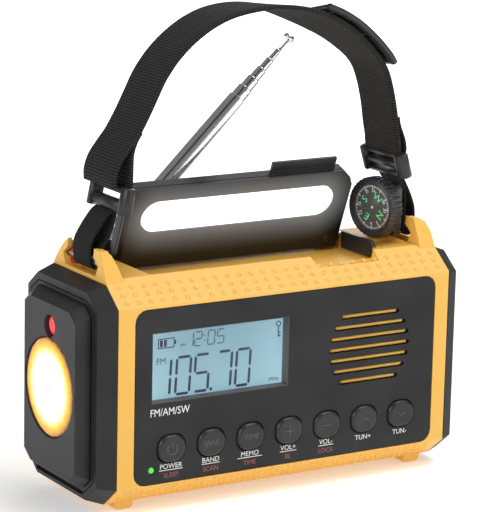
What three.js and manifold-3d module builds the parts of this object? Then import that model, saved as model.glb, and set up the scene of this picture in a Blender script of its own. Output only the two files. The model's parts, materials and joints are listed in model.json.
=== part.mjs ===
// Hand-crank emergency radio: moulded housing, flip-up reading lamp with a solar cell,
// torch in the left end, telescopic antenna, strap with a button compass, rear crank.
// Millimetres, +Z up, the front faces -Y. Origin: centre of the bounding box's bottom.
import * as THREE from 'three';
import { mergeVertices } from 'three/addons/utils/BufferGeometryUtils.js';
import Module from 'manifold-3d';

const wasm = await Module();
wasm.setup();

const rad = THREE.MathUtils.degToRad;

// ---------------------------------------------------------------- driving dimensions
const GAP = 0.3;                 // clearance between separate pieces
const BAND_HALF = 72.6;          // half length of the yellow housing band
const DEPTH = 60.1;              // front face to rear face
const MID = DEPTH / 2;
const BOTTOM = 3.0;              // underside of the housing, above the feet
const FACE_LOW = 10.9;           // lower edge of the vertical front face
const FACE_HIGH = 78.5;          // upper edge of the vertical front face
const CHAMFER = 9.65;            // depth of the sloping edges
const DECK = 87.3;               // top deck of the band
const CAP_TOP = 85.95;           // top of the end caps
const SLOPE = (CAP_TOP - FACE_HIGH) / CHAMFER;
const DECK_EDGE = (DECK - FACE_HIGH) / SLOPE;   // y at which the front slope meets the deck
const WALL = 2.6;
const FRONT_WALL = 4.2;
const SPLIT = 30;                // joint plane between the two housing halves
const TRAY_FLOOR = 81.2;         // floor of the lamp's bay in the top deck
const TRAY_UNDER = 78.8;
const TRAY = { x0: -53, x1: 50, y0: 12.2, y1: 49.1 };
const LEFT_CAP = 7.4;            // thickness of the left end cap
const TORCH_PAD = 6.2;           // thickness of the torch cover on the cap
const RIGHT_CAP = 4.35;
const STRAP_MID = 30;            // strap centre plane
const BAR = { x: 69.4, z: 91.4, r: 1.6 };
const HINGE = { y: 44.8, z: 85.9, lean: 21.5 };
const LAMP = { x0: -51.6, x1: 48.4, front: -4.0, rear: 3.0, low: -3.05, high: 32.2 };
const DIFFUSER = { x: -2.55, z: 20.4, w: 85.4, h: 13.8 };
const SEAM = -1.05;              // joint plane between the lamp's two covers
const TAB = { x0: 12.2, x1: 41.3, y0: 1.65, high: 35.9 };
const CELL = { x: -1.6, z: 16.2, w: 91, h: 27 };
const ANTENNA = { x: -49.8, y: 52.8, z: 87.6, tilt: 43.9 };
const TUBE = { first: 3.5, step: 0.45, wall: 0.27, mouth: 79.1, shown: 5.1, length: 69.5, sides: 14 };
const CRANK = { x: 34, z: 44.7, dish: 31, floor: 46.6 };
const GRIP = { x: CRANK.x - 23.4, y: 54.6 };
const GEAR = { module: 1, teeth: 36, y0: 39.6, y1: 43.4 };
const PINION_TEETH = 12;
const MESH_DISTANCE = 24.2;      // between the crank gear's and the pinion's axes
const MESH_ANGLE = 150;          // direction from the crank gear to the pinion, in XZ
const GENERATOR = {
  x: CRANK.x + MESH_DISTANCE * Math.cos(rad(MESH_ANGLE)),
  z: CRANK.z + MESH_DISTANCE * Math.sin(rad(MESH_ANGLE)),
  r: 10,
};
const BATTERY = { y: 45.6, z: 30, r: 9.2, x0: -66.5, x1: -1.5 };
const DOOR = { x0: -62, x1: -6, z0: 17.7, z1: 42.5, y0: 57.8, y1: 59.9 };
const PANEL_RECT = { cx: 0.4, cz: 44.3, w: 131.8, h: 66, r: 4.5, depth: 2.2 };
const BUTTON = { w: 11.8, h: 10.6, r: 4.8, z: 24.1, pitch: 17, first: -50.1 };
const LCD = { x0: -58.6, x1: 0.2, z0: 41.7, z1: 68.4 };
const SPEAKER = { x: 36.6, z: 52.5, r: 18.5, slots: 7, pitch: 4.26, height: 1.8 };
const SOUND_SLOT = { height: 0.7, drop: 0.45 };  // openings in the shell, low behind each panel slot
const POWER_LED = { x: -58.3, z: 16.6, r: 1.2 };
const TORCH = { y: 27.4, z: 45.1, r: 18.6 };
const SIGNAL = { y: 26.9, z: 68.5, r: 3.8 };
const PORT = { y0: 14, y1: 43, z0: 44, z1: 60, depth: 1.7 };
const USB = { y: 33.5, z: 52, w: 13.2, h: 5.8 };
const JACK_Y = 19.5;
const BEZEL = { r: 12, inner: 9.7, thick: 6.4 };
// Strap paths are (x, z) points; the tab paths are written for the right-hand side.
const WEBBING = {
  width: 24, thick: 1.8, twist: -13,
  path: [[-64.6, 119], [-64.8, 121.6], [-64.3, 124.6], [-62.8, 128.2], [-60, 132], [-56.4, 136.4],
    [-53.6, 140.8], [-51, 145.4], [-48, 151.2], [-45, 157], [-41.6, 161.9], [-38.4, 165.6], [-33.4, 170.2],
    [-27.4, 174.4], [-21.6, 177.4], [-15.6, 179.5], [-8.6, 180.8], [-1.2, 181.3], [5, 181], [13, 179.5],
    [21.6, 176.9], [29.3, 173.8], [37.7, 169.2], [44.8, 163.8], [50.2, 158.8], [53.2, 154.6], [54.9, 150.4],
    [56.4, 145.4], [57.9, 138.7], [58.9, 132.4], [60, 127], [60.4, 123.6]],
};
const SLIDER = {
  width: 26, thick: 2.4, twist: -14, untwist: 8,
  path: [[25, 178.6], [32, 176], [39.4, 172], [46.6, 166.6], [52.4, 161.2], [55.4, 157.4]],
};
const LEFT_TAB = {
  out: [[64.5, 108.7], [66.6, 106], [69.2, 102.4], [71.2, 99], [71.9, 96]],
  back: [[66.6, 96], [64.2, 100], [62.4, 104.4], [61.6, 107.4]],
};
const RIGHT_TAB = {
  out: [[66.1, 111.3], [69.2, 105.6], [71.3, 100.5], [71.9, 96.5]],
  back: [[67.2, 97], [67.4, 102], [66.7, 107.6], [64.2, 111.2]],
};
const FITTING_HALF = 14.5;       // half length of both strap fittings along Y
const LEFT_BUCKLE = {
  x: -60.1, z: 113.9, w: 5.4, h: 10.2, r: 2.2, lean: 12, slots: [2.9, -2], slotHeight: 1.9,
};
const RIGHT_ADAPTER = {
  x: 61.9, z: 117.6, w: 5.6, h: 9.6, r: 2.6, lean: -16.6, slots: [2.2, -2.2], slotHeight: 1.6,
};
const LEFT_END = -BAND_HALF - LEFT_CAP - TORCH_PAD - 2 * GAP;
const RIGHT_END = BAND_HALF + GAP + RIGHT_CAP;
const DOME = 1.4;                // how far the key caps stand out of the panel
const ORIGIN = new THREE.Vector3((LEFT_END + RIGHT_END) / 2, (DEPTH - DOME) / 2, 0);

// ---------------------------------------------------------------- materials
const finish = (color, roughness, metalness = 0) =>
  new THREE.MeshStandardMaterial({ color, roughness, metalness });
const YELLOW = finish(0xf5bd4f, 0.5);
const BLACK = finish(0x242426, 0.45);
const GREY = finish(0x55565a, 0.5);
const PANEL = finish(0x2b2b2e, 0.55);
const CLEAR = finish(0xdfe9ee, 0.1);
const LCD_BLUE = finish(0xbfe3f2, 0.3);
const BOARD = finish(0x1e6b3a, 0.6);
const RUBBER = finish(0x2d2d2f, 0.85);
const CHROME = finish(0xd8d8da, 0.12, 1);
const STEEL = finish(0x9a9ca0, 0.3, 1);
const FABRIC = finish(0x161618, 0.95);
const WHITE = finish(0xf8f8f4, 0.4);
const RED = finish(0xb01818, 0.3);
const GREEN = finish(0x3fc850, 0.3);
const SOLAR = finish(0x1b2440, 0.25);
const COMPASS_BLACK = finish(0x101012, 0.5);

// ---------------------------------------------------------------- geometry helpers
// A closed mesh as a manifold solid, with its shared vertices merged.
function solid(geometry) {
  const plain = geometry.clone();
  plain.deleteAttribute('normal');
  plain.deleteAttribute('uv');
  const merged = mergeVertices(plain, 1e-4);
  const vertProperties = new Float32Array(merged.attributes.position.array);
  const triVerts = new Uint32Array(merged.index.array);
  return new wasm.Manifold(new wasm.Mesh({ numProp: 3, vertProperties, triVerts }));
}

function toGeometry(body) {
  const mesh = body.getMesh();
  const geometry = new THREE.BufferGeometry();
  geometry.setAttribute('position', new THREE.BufferAttribute(mesh.vertProperties, 3));
  geometry.setIndex(new THREE.BufferAttribute(mesh.triVerts, 1));
  return geometry;
}

const join = (first, ...rest) => rest.reduce((sum, body) => sum.add(body), first);
const cut = (first, ...rest) => rest.reduce((sum, body) => sum.subtract(body), first);

function shapeOf(points) {
  return new THREE.Shape(points.map(([a, b]) => new THREE.Vector2(a, b)));
}

// Prism of an outline given in (y, z), running from x0 to x1.
function prismX(points, x0, x1) {
  const g = new THREE.ExtrudeGeometry(shapeOf(points), { depth: x1 - x0, bevelEnabled: false });
  g.applyMatrix4(new THREE.Matrix4().set(0, 0, 1, x0, 1, 0, 0, 0, 0, 1, 0, 0, 0, 0, 0, 1));
  return solid(g);
}

// Prism of an outline given in (x, z), running from y0 to y1.
function prismY(points, y0, y1) {
  const g = new THREE.ExtrudeGeometry(shapeOf(points), { depth: y1 - y0, bevelEnabled: false });
  g.rotateX(Math.PI / 2).translate(0, y1, 0);
  return solid(g);
}

function box(x0, x1, y0, y1, z0, z1) {
  const g = new THREE.BoxGeometry(x1 - x0, y1 - y0, z1 - z0);
  return solid(g.translate((x0 + x1) / 2, (y0 + y1) / 2, (z0 + z1) / 2));
}

// Cylinders along each axis: centre in the other two axes, then the span.
function cylinderX(r, y, z, x0, x1, sides = 24) {
  const g = new THREE.CylinderGeometry(r, r, x1 - x0, sides);
  return solid(g.rotateZ(Math.PI / 2).translate((x0 + x1) / 2, y, z));
}

function cylinderY(r, x, z, y0, y1, sides = 24) {
  const g = new THREE.CylinderGeometry(r, r, y1 - y0, sides);
  return solid(g.translate(x, (y0 + y1) / 2, z));
}

// Solid of revolution about the X axis through (y, z); profile holds [radius, x] pairs.
function latheX(profile, y, z, sides = 32) {
  const g = new THREE.LatheGeometry(profile.map(([r, a]) => new THREE.Vector2(r, a)), sides);
  return solid(g.rotateZ(-Math.PI / 2).translate(0, y, z));
}

// Solid of revolution about the Y axis through (x, z); profile holds [radius, y] pairs.
function latheY(profile, x, z, sides = 32) {
  const g = new THREE.LatheGeometry(profile.map(([r, a]) => new THREE.Vector2(r, a)), sides);
  return solid(g.translate(x, 0, z));
}

// Skin through a row of convex rings with equal point counts, closed at both ends.
function loft(rings) {
  const n = rings[0].length;
  const positions = rings.flat().flatMap((p) => [p.x, p.y, p.z]);
  const index = [];
  for (let r = 0; r + 1 < rings.length; r += 1) {
    for (let k = 0; k < n; k += 1) {
      const a = r * n + k;
      const b = r * n + (k + 1) % n;
      index.push(a, b, b + n, a, b + n, a + n);
    }
  }
  const last = (rings.length - 1) * n;
  for (let k = 1; k + 1 < n; k += 1) {
    index.push(0, k + 1, k);
    index.push(last, last + k, last + k + 1);
  }
  const g = new THREE.BufferGeometry();
  g.setAttribute('position', new THREE.Float32BufferAttribute(positions, 3));
  g.setIndex(index);
  const body = solid(g);
  if (body.volume() > 0) return body;
  for (let k = 0; k < index.length; k += 3) index.splice(k, 3, index[k], index[k + 2], index[k + 1]);
  g.setIndex(index);
  return solid(g);
}

// Convex outline moved inwards by d (outwards if d is negative).
function inset(points, d) {
  const n = points.length;
  const area = points.reduce((sum, [x, y], k) => {
    const [u, v] = points[(k + 1) % n];
    return sum + x * v - u * y;
  }, 0);
  const side = Math.sign(area);
  const lines = points.map(([x, y], k) => {
    const [u, v] = points[(k + 1) % n];
    const length = Math.hypot(u - x, v - y);
    const nx = -side * (v - y) / length;
    const ny = side * (u - x) / length;
    return { nx, ny, c: nx * x + ny * y + d };
  });
  return points.map((_, k) => {
    const a = lines[(k + n - 1) % n];
    const b = lines[k];
    const det = a.nx * b.ny - b.nx * a.ny;
    return [(a.c * b.ny - b.c * a.ny) / det, (a.nx * b.c - b.nx * a.c) / det];
  });
}

// Rounded rectangle about (cx, cz); seg points on each corner's arc.
function roundedRect(cx, cz, w, h, r, seg = 4) {
  const points = [];
  for (let corner = 0; corner < 4; corner += 1) {
    const sx = corner === 0 || corner === 3 ? 1 : -1;
    const sz = corner < 2 ? 1 : -1;
    for (let k = 0; k <= seg; k += 1) {
      const t = rad(90 * corner + 90 * k / seg);
      points.push([cx + sx * (w / 2 - r) + r * Math.cos(t), cz + sz * (h / 2 - r) + r * Math.sin(t)]);
    }
  }
  return points;
}

// Flat band along a curve in the XZ plane, its width along Y and turned by twist degrees.
function ribbon(path, width, thickness, y, steps, twist = () => 0) {
  const curve = new THREE.CatmullRomCurve3(path.map(([x, z]) => new THREE.Vector3(x, y, z)));
  const rings = [];
  for (let k = 0; k <= steps; k += 1) {
    const u = k / steps;
    const p = curve.getPointAt(u);
    const t = curve.getTangentAt(u);
    const across = new THREE.Vector3(0, 1, 0).applyAxisAngle(t, rad(twist(u)));
    const out = new THREE.Vector3().crossVectors(across, t).normalize();
    const corner = (a, b) => p.clone().addScaledVector(across, a * width / 2)
      .addScaledVector(out, b * thickness / 2);
    rings.push([corner(-1, -1), corner(1, -1), corner(1, 1), corner(-1, 1)]);
  }
  return loft(rings);
}

// ---------------------------------------------------------------- scene graph
const radio = new THREE.Group();
radio.position.copy(ORIGIN).negate();

function add(name, body, material, parent = radio) {
  const mesh = new THREE.Mesh(toGeometry(body), material);
  mesh.name = name;
  parent.add(mesh);
  return mesh;
}

// ---------------------------------------------------------------- housing
// Eight-sided section of the band and of the slightly lower end caps, in (y, z).
function section(top, edge) {
  return [
    [0, FACE_LOW], [CHAMFER, BOTTOM], [DEPTH - CHAMFER, BOTTOM], [DEPTH, FACE_LOW],
    [DEPTH, FACE_HIGH], [DEPTH - edge, top], [edge, top], [0, FACE_HIGH],
  ];
}
const BAND = section(DECK, DECK_EDGE);
const CAP = section(CAP_TOP, CHAMFER);

const buttonX = (k) => BUTTON.first + BUTTON.pitch * k;
const keyHoles = (grow, y0, y1) => Array.from({ length: 7 }, (_, k) =>
  prismY(roundedRect(buttonX(k), BUTTON.z, BUTTON.w + grow, BUTTON.h + grow, BUTTON.r, 4), y0, y1));

// Row of round-ended slots that fills the loudspeaker's circle, each one lowered by drop.
function speakerSlots(height, drop, y0, y1) {
  return Array.from({ length: SPEAKER.slots }, (_, k) => {
    const dz = (k - (SPEAKER.slots - 1) / 2) * SPEAKER.pitch;
    const length = 2 * Math.sqrt(SPEAKER.r ** 2 - dz ** 2) - SPEAKER.height + height;
    const z = SPEAKER.z + dz - drop;
    return prismY(roundedRect(SPEAKER.x, z, length, height, height / 2 - 0.01, 3), y0, y1);
  });
}

const lcdHole = (grow, y0, y1) =>
  box(LCD.x0 - grow, LCD.x1 + grow, y0, y1, LCD.z0 - grow, LCD.z1 + grow);

// Hollow band with a solid top deck, before it is split into two halves.
function bandBlank() {
  const inner = inset(BAND, WALL);
  const hollow = prismX(inner, -BAND_HALF - 1, BAND_HALF + 1)
    .intersect(box(-80, 80, FRONT_WALL, DEPTH, 0, TRAY_UNDER));
  return cut(prismX(BAND, -BAND_HALF, BAND_HALF), hollow);
}

// Strap ear at one end: end is -1 or 1 along X; rear tells which Y side.
function ear(end, rear) {
  const front = [[9, 83], [9.65, 85.9], [14.1, 97.4], [19.5, 97.4], [19.9, 94.1], [16.3, 91.4],
    [18, 87.9], [18, 83]];
  const back = [[52.5, 83], [51.4, 85.6], [49.1, 89.1], [45.5, 93], [42.6, 95.6], [39.6, 97.6],
    [40.2, 94.1], [43.8, 91.4], [42.1, 87.9], [42.1, 83]];
  const outline = rear ? back : front;
  // Both ears lean the same way: an upright left side and a rounded right side.
  const left = [[-BAND_HALF, 82], [-BAND_HALF, 98], [-70.3, 97.6], [-68.6, 95.6], [-66.9, 92], [-65.2, 86],
    [-64.8, 82]];
  const right = [[65.2, 82], [65.4, 90], [64.9, 98], [66.8, 97.6], [70.2, 95.8], [72, 91.5], [BAND_HALF, 86],
    [BAND_HALF, 82]];
  const side = prismY(end < 0 ? left : right, 0, 60);
  return prismX(outline, Math.min(end * 60, end * 75), Math.max(end * 60, end * 75)).intersect(side);
}

// Small square foot that widens towards the housing.
function foot(x, y) {
  const square = (half, z) => [[-1, -1], [1, -1], [1, 1], [-1, 1]]
    .map(([a, b]) => new THREE.Vector3(x + a * half, y + b * half, z));
  return loft([square(2.7, 0), square(3.6, 1.2), square(3.8, BOTTOM + 0.5)]);
}

function bandWithEars() {
  let body = bandBlank();
  for (const end of [-1, 1]) {
    for (const rear of [false, true]) body = body.add(ear(end, rear));
    const feet = [12.8, DEPTH - 12.8].map((y) => foot(end * 64.5, y));
    body = join(body, ...feet);
  }
  const tray = box(TRAY.x0, TRAY.x1, TRAY.y0, TRAY.y1, TRAY_FLOOR, 100);
  const ledge = box(-58, 44, TRAY.y1 - 0.1, DEPTH, 83.6, 100);
  const grip = prismY([[15, 90], [17.2, 83.9], [44.3, 83.9], [45, 87], [47, 90]], 0, TRAY.y0 + 1);
  const step = box(TRAY.x1 - 0.1, 64, 14, 28, 86, 100).intersect(
    prismY([[49, 85], [64, 85], [64, 95], [49, 95]], 0, 40));
  const rail = box(TRAY.x1 - 0.1, 52.2, 19.7, 42.9, TRAY_FLOOR, 100);
  const pockets = [-1, 1].map((end) => box(Math.min(end * 71, end * 65.2),
    Math.max(end * 71, end * 65.2), 18.3, 41.8, 85, 100));
  const bars = [-1, 1].map((end) => cylinderY(BAR.r + GAP, end * BAR.x, BAR.z, 13.2, 46.8, 16));
  const rod = cylinderX(1.8, HINGE.y, HINGE.z, -56.4, 53.4, 16);
  return cut(body, tray, ledge, grip, step, rail, ...pockets, ...bars, rod);
}

function boss(x, z) {
  return cylinderY(3, x, z, FRONT_WALL - 0.5, 7.7, 12);
}

function frontShell(band) {
  const half = band.intersect(box(-80, 80, -5, SPLIT - GAP / 2, -1, 110));
  const { cx, cz, w, h, r, depth } = PANEL_RECT;
  const pocket = prismY(roundedRect(cx, cz, w + 2 * GAP, h + 2 * GAP, r + GAP, 4), -1, depth);
  const posts = [[-62.5, 73], [62.5, 15.5], [-62.5, 15.5]].map(([x, z]) => boss(x, z));
  return cut(join(half, ...posts), pocket, ...keyHoles(2 * GAP + 0.2, 1, 5),
    ...speakerSlots(SOUND_SLOT.height, SOUND_SLOT.drop, 1, 5), lcdHole(0, 1, 5),
    cylinderY(POWER_LED.r + GAP, POWER_LED.x, POWER_LED.z, 1, 5, 12));
}

function rearShell(band) {
  const half = band.intersect(box(-80, 80, SPLIT + GAP / 2, 70, -1, 110));
  const tub = cylinderY(CRANK.dish + 2, CRANK.x, CRANK.z, CRANK.floor - 2, DEPTH - 1, 48);
  const dish = cylinderY(CRANK.dish, CRANK.x, CRANK.z, CRANK.floor, DEPTH + 2, 48);
  const shaft = cylinderY(3.3, CRANK.x, CRANK.z, CRANK.floor - 3, CRANK.floor + 1, 16);
  const opening = box(DOOR.x0 - GAP, DOOR.x1 + GAP, 55, 65, DOOR.z0 - GAP, DOOR.z1 + GAP);
  const cradle = [-54, -14].map((x) => cut(box(x - 1.2, x + 1.2, 37, 54.5, BOTTOM + 1, 28),
    cylinderX(9.5, BATTERY.y, BATTERY.z, x - 3, x + 3, 24)));
  const saddle = cut(box(GENERATOR.x - 4, GENERATOR.x + 4, 31, 36, BOTTOM + 1, 50),
    cylinderY(GENERATOR.r + GAP, GENERATOR.x, GENERATOR.z, 30, 37, 24));
  const inside = prismX(inset(BAND, 1), -BAND_HALF, BAND_HALF);
  const supports = [...cradle, saddle].map((body) => body.intersect(inside));
  return cut(join(half, tub, ...supports), dish, shaft, opening);
}

const band = bandWithEars();
add('front_shell', frontShell(band), YELLOW);
add('rear_shell', rearShell(band), YELLOW);

function ring(outline, x) {
  return outline.map(([y, z]) => new THREE.Vector3(x, y, z));
}

// Outlines of the torch cover's foot and face, in (y, z).
const PAD_BASE = [
  [6.3, 14.2], [11.9, 9.8], [48.2, 9.8], [53.8, 14.2], [53.8, 75.3], [48.2, 79.2], [11.3, 79.2], [6.3, 75.5],
];
const PAD_FACE = [
  [6.3, 17.3], [11.6, 13.4], [42, 13.4], [47.4, 17.2], [47.2, 74], [41.8, 77.1], [11.6, 77.2], [6.3, 73.5],
];

// End cap with a fine groove round the torch cover and a slot below it.
function leftCap() {
  const x0 = -BAND_HALF - GAP;
  const x1 = x0 - LEFT_CAP + GAP;
  const groove = cut(prismX(inset(PAD_BASE, -1.7), x1 - 1, x1 + 0.6),
    prismX(inset(PAD_BASE, -1.2), x1 - 2, x1 + 2));
  const slot = box(x1 - 1, x1 + 1.5, 12.6, 50, 6.9, 8.3);
  const outer = loft([ring(CAP, x0), ring(inset(CAP, 2.5), x1)]);
  const hollow = prismX(inset(CAP, 5.2), x1 + 2.2, x0 + 1);
  return cut(outer, hollow, groove, slot, cylinderX(TORCH.r + 1, TORCH.y, TORCH.z, x1 - 1, x0 + 1, 32),
    cylinderX(2.4, SIGNAL.y, SIGNAL.z, x1 - 1, x0 + 1, 12));
}

// Raised cover round the torch: an upright front side, and a rear side that slopes inwards.
function torchCover() {
  const x0 = -BAND_HALF - LEFT_CAP - GAP;
  const pad = loft([ring(PAD_BASE, x0), ring(PAD_FACE, LEFT_END)]);
  return cut(pad, cylinderX(TORCH.r + GAP, TORCH.y, TORCH.z, LEFT_END - 1, x0 + 1, 32),
    cylinderX(SIGNAL.r + GAP, SIGNAL.y, SIGNAL.z, LEFT_END - 1, x0 - 1.6, 16),
    cylinderX(2.4, SIGNAL.y, SIGNAL.z, LEFT_END - 1, x0 + 1, 12));
}

function rightCap() {
  const x0 = BAND_HALF + GAP;
  const x1 = RIGHT_END;
  const outer = loft([ring(CAP, x0), ring(inset(CAP, 1.5), x1)]);
  const seat = box(x1 - PORT.depth, x1 + 1, PORT.y0 - GAP, PORT.y1 + GAP, PORT.z0 - GAP, PORT.z1 + GAP);
  const usb = box(x0 - 1, x1 + 1, USB.y - USB.w / 2, USB.y + USB.w / 2, USB.z - USB.h / 2,
    USB.z + USB.h / 2);
  const jack = cylinderX(2, JACK_Y, USB.z, x0 - 1, x1 + 1, 12);
  return cut(outer, seat, usb, jack);
}

add('left_end_cap', leftCap(), BLACK);
add('torch_cover', torchCover(), GREY);
add('right_end_cap', rightCap(), BLACK);

// Cover flap over the sockets, hinged on its rear upright edge.
function portCover() {
  const x1 = RIGHT_END - 0.1;
  const t = 1.3;
  const plate = box(x1 - t, x1, PORT.y0, PORT.y1 - t / 2, PORT.z0, PORT.z1);
  const edge = new THREE.CylinderGeometry(t / 2, t / 2, PORT.z1 - PORT.z0, 12).rotateX(Math.PI / 2);
  edge.translate(x1 - t / 2, PORT.y1 - t / 2, (PORT.z0 + PORT.z1) / 2);
  return join(plate, solid(edge));
}
add('port_cover', portCover(), RUBBER);

function socketBoard() {
  const x0 = BAND_HALF - 10;
  const plate = box(x0, x0 + 1.6, 14, 43, 44, 60);
  const shell = box(x0 + 1.5, BAND_HALF, USB.y - 7.4, USB.y + 7.4, USB.z - 3.9, USB.z + 3.9);
  const mouth = box(x0 + 3, BAND_HALF + 1, USB.y - 6.6, USB.y + 6.6, USB.z - 2.9, USB.z + 2.9);
  const jack = box(x0 + 1.5, BAND_HALF, JACK_Y - 3.5, JACK_Y + 3.5, USB.z - 3.5, USB.z + 3.5);
  return cut(join(plate, shell, jack), mouth, cylinderX(1.8, JACK_Y, USB.z, x0 + 3, 80, 12));
}
add('socket_board', socketBoard(), BOARD);

// ---------------------------------------------------------------- front panel and display
function frontPanel() {
  const { cx, cz, w, h, r, depth } = PANEL_RECT;
  const plate = prismY(roundedRect(cx, cz, w, h, r, 4), 0, depth - GAP);
  return cut(plate, lcdHole(0, -1, 5), ...keyHoles(2 * GAP, -1, 5), ...speakerSlots(SPEAKER.height, 0, -1, 5),
    cylinderY(POWER_LED.r + GAP, POWER_LED.x, POWER_LED.z, -1, 5, 12));
}
add('front_panel', frontPanel(), PANEL);
add('lcd_window', box(LCD.x0 + GAP, LCD.x1 - GAP, 3.1, 4.0, LCD.z0 + GAP, LCD.z1 - GAP), CLEAR);
add('lcd_module', box(LCD.x0 - 2, LCD.x1 + 2, 4.5, 7.2, LCD.z0 - 2, LCD.z1 + 2), LCD_BLUE);

function mainBoard() {
  const outline = [[-65, 11.5], [65, 11.5], [65, 32], [12, 32], [12, 76], [-65, 76]];
  return prismY(outline, 8, 9.6);
}
add('main_board', mainBoard(), BOARD);
add('keypad_mat', box(-60, 60, 6.6, 7.6, 17.5, 31), RUBBER);
add('power_led_lens', cylinderY(POWER_LED.r, POWER_LED.x, POWER_LED.z, -0.2, 4.6, 12), GREEN);

const BUTTON_NAMES = ['power', 'band', 'memo_time', 'volume_up', 'volume_down', 'tune_up', 'tune_down'];

// Key cap: domed front, straight body, and a flange that keeps it behind the front wall.
function keyCap(x) {
  const { w, h, r } = BUTTON;
  const ringOf = (d, y) => roundedRect(x, BUTTON.z, w - 2 * d, h - 2 * d, r - 0.8 * d, 4)
    .map(([a, b]) => new THREE.Vector3(a, y, b));
  const body = loft([ringOf(3, -DOME), ringOf(1, 0.4 - DOME), ringOf(0, 1.3 - DOME), ringOf(0, 5)]);
  return join(body, prismY(roundedRect(x, BUTTON.z, w + 2.4, h + 2, r, 3), 4.5, 5.4));
}
BUTTON_NAMES.forEach((name, k) => add(`button_${name}`, keyCap(buttonX(k)), BLACK));

// ---------------------------------------------------------------- loudspeaker
const { x: SX, z: SZ } = SPEAKER;
add('speaker_basket', latheY([[17.4, 4.5], [19, 4.5], [19, 5.6], [17.8, 5.6], [10.2, 12], [10.2, 17],
  [0, 17], [0, 13.6], [9, 12.6], [9, 11.4], [17.4, 5.6], [17.4, 4.5]], SX, SZ, 32), STEEL);
add('speaker_cone', latheY([[0, 9.4], [4, 9.4], [16.6, 4.9], [16.9, 5.4], [8, 11], [0, 11]], SX, SZ, 32),
  RUBBER);

// ---------------------------------------------------------------- torch
add('torch_lens', latheX([[0, LEFT_END], [13, LEFT_END + 0.1], [TORCH.r, LEFT_END + 0.7],
  [TORCH.r, LEFT_END + 2], [0, LEFT_END + 2]], TORCH.y, TORCH.z, 32), CLEAR);

function torchReflector() {
  const lip = LEFT_END + 2.3;
  const outside = [[18.4, lip], [18.4, lip + 1.5], [15.6, lip + 7], [11, lip + 13], [5.2, lip + 18]];
  const inside = [[3.2, lip + 18], [4.2, lip + 16.4], [9.8, lip + 12], [14.4, lip + 6], [17.2, lip]];
  return latheX([...outside, ...inside, outside[0]], TORCH.y, TORCH.z, 32);
}
add('torch_reflector', torchReflector(), CHROME);
add('torch_led_board', latheX([[0, LEFT_END + 19.6], [2.4, LEFT_END + 19.6], [2.6, LEFT_END + 20.7],
  [7, LEFT_END + 20.7], [7, LEFT_END + 22], [0, LEFT_END + 22]], TORCH.y, TORCH.z, 16), WHITE);
add('signal_lens', cylinderX(SIGNAL.r, SIGNAL.y, SIGNAL.z, LEFT_END + 1.6, -BAND_HALF - LEFT_CAP - 2.4, 16),
  RED);

// ---------------------------------------------------------------- power supply inside
add('battery_cell', cylinderX(BATTERY.r, BATTERY.y, BATTERY.z, BATTERY.x0, BATTERY.x1, 24), GREEN);

// Hatch over the cell; its lower edge is rounded about the hinge line.
function batteryDoor() {
  const r = (DOOR.y1 - DOOR.y0) / 2;
  const plate = box(DOOR.x0, DOOR.x1, DOOR.y0, DOOR.y1, DOOR.z0 + r, DOOR.z1);
  return join(plate, cylinderX(r, DOOR.y0 + r, DOOR.z0 + r, DOOR.x0, DOOR.x1, 16));
}
add('battery_door', batteryDoor(), YELLOW);
add('generator', join(cylinderY(GENERATOR.r, GENERATOR.x, GENERATOR.z, 18, 38, 24),
  cylinderY(1.4, GENERATOR.x, GENERATOR.z, 37, 39.2, 12)), STEEL);

// ---------------------------------------------------------------- crank and its gears
// Spur gear outline with involute flanks; the first tooth points to the angle phase.
function gearOutline(teeth, phase, cx, cz) {
  const m = GEAR.module;
  const pitch = m * teeth / 2;
  const base = pitch * Math.cos(rad(20));
  const tip = pitch + 0.75 * m;
  const root = pitch - 1.25 * m;
  const roll = (r) => {
    const a = Math.sqrt(Math.max(0, (r / base) ** 2 - 1));
    return a - Math.atan(a);
  };
  const half = Math.PI / (2 * teeth) - 0.13 * m / pitch + roll(pitch);
  const start = Math.max(base, root + 0.05);
  const points = [];
  for (let k = 0; k < teeth; k += 1) {
    const centre = rad(phase) + 2 * Math.PI * k / teeth;
    const flank = [[root, roll(start)], [start + (tip - start) * 0.4, null], [tip, null]]
      .map(([r, fixed]) => [r, half - (fixed ?? roll(r))]);
    for (const [r, a] of flank) points.push([cx + r * Math.cos(centre - a), cz + r * Math.sin(centre - a)]);
    for (const [r, a] of flank.reverse()) {
      points.push([cx + r * Math.cos(centre + a), cz + r * Math.sin(centre + a)]);
    }
  }
  return points;
}
add('crank_gear', join(prismY(gearOutline(GEAR.teeth, MESH_ANGLE, CRANK.x, CRANK.z), GEAR.y0, GEAR.y1),
  cylinderY(3, CRANK.x, CRANK.z, GEAR.y1 - 0.5, CRANK.floor + 0.1, 16)), WHITE);
const pinionPhase = MESH_ANGLE + 180 + 180 / PINION_TEETH;
add('generator_pinion', prismY(gearOutline(PINION_TEETH, pinionPhase, GENERATOR.x, GENERATOR.z),
  GEAR.y0, GEAR.y1), WHITE);

// Arm with a round hub, a rounded outer end and two ears that carry the grip's pivot.
function crankArm() {
  const y0 = CRANK.floor + 0.4;
  const y1 = y0 + 3.2;
  const bar = box(GRIP.x, CRANK.x, y0, y1, CRANK.z - 5.4, CRANK.z + 5.4);
  const hub = cylinderY(8.5, CRANK.x, CRANK.z, y0, y1, 24);
  const end = cylinderY(5.4, GRIP.x, CRANK.z, y0, y1, 20);
  const ears = [-1, 1].map((s) => box(GRIP.x - 3, GRIP.x + 3, y1 - 0.2, GRIP.y + 2.6,
    CRANK.z + Math.min(s * 3.6, s * 5.3), CRANK.z + Math.max(s * 3.6, s * 5.3)));
  const hole = solid(new THREE.CylinderGeometry(1.3, 1.3, 20, 12).rotateX(Math.PI / 2)
    .translate(GRIP.x, GRIP.y, CRANK.z));
  return cut(join(bar, hub, end, ...ears), hole);
}
add('crank_arm', crankArm(), BLACK);

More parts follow.
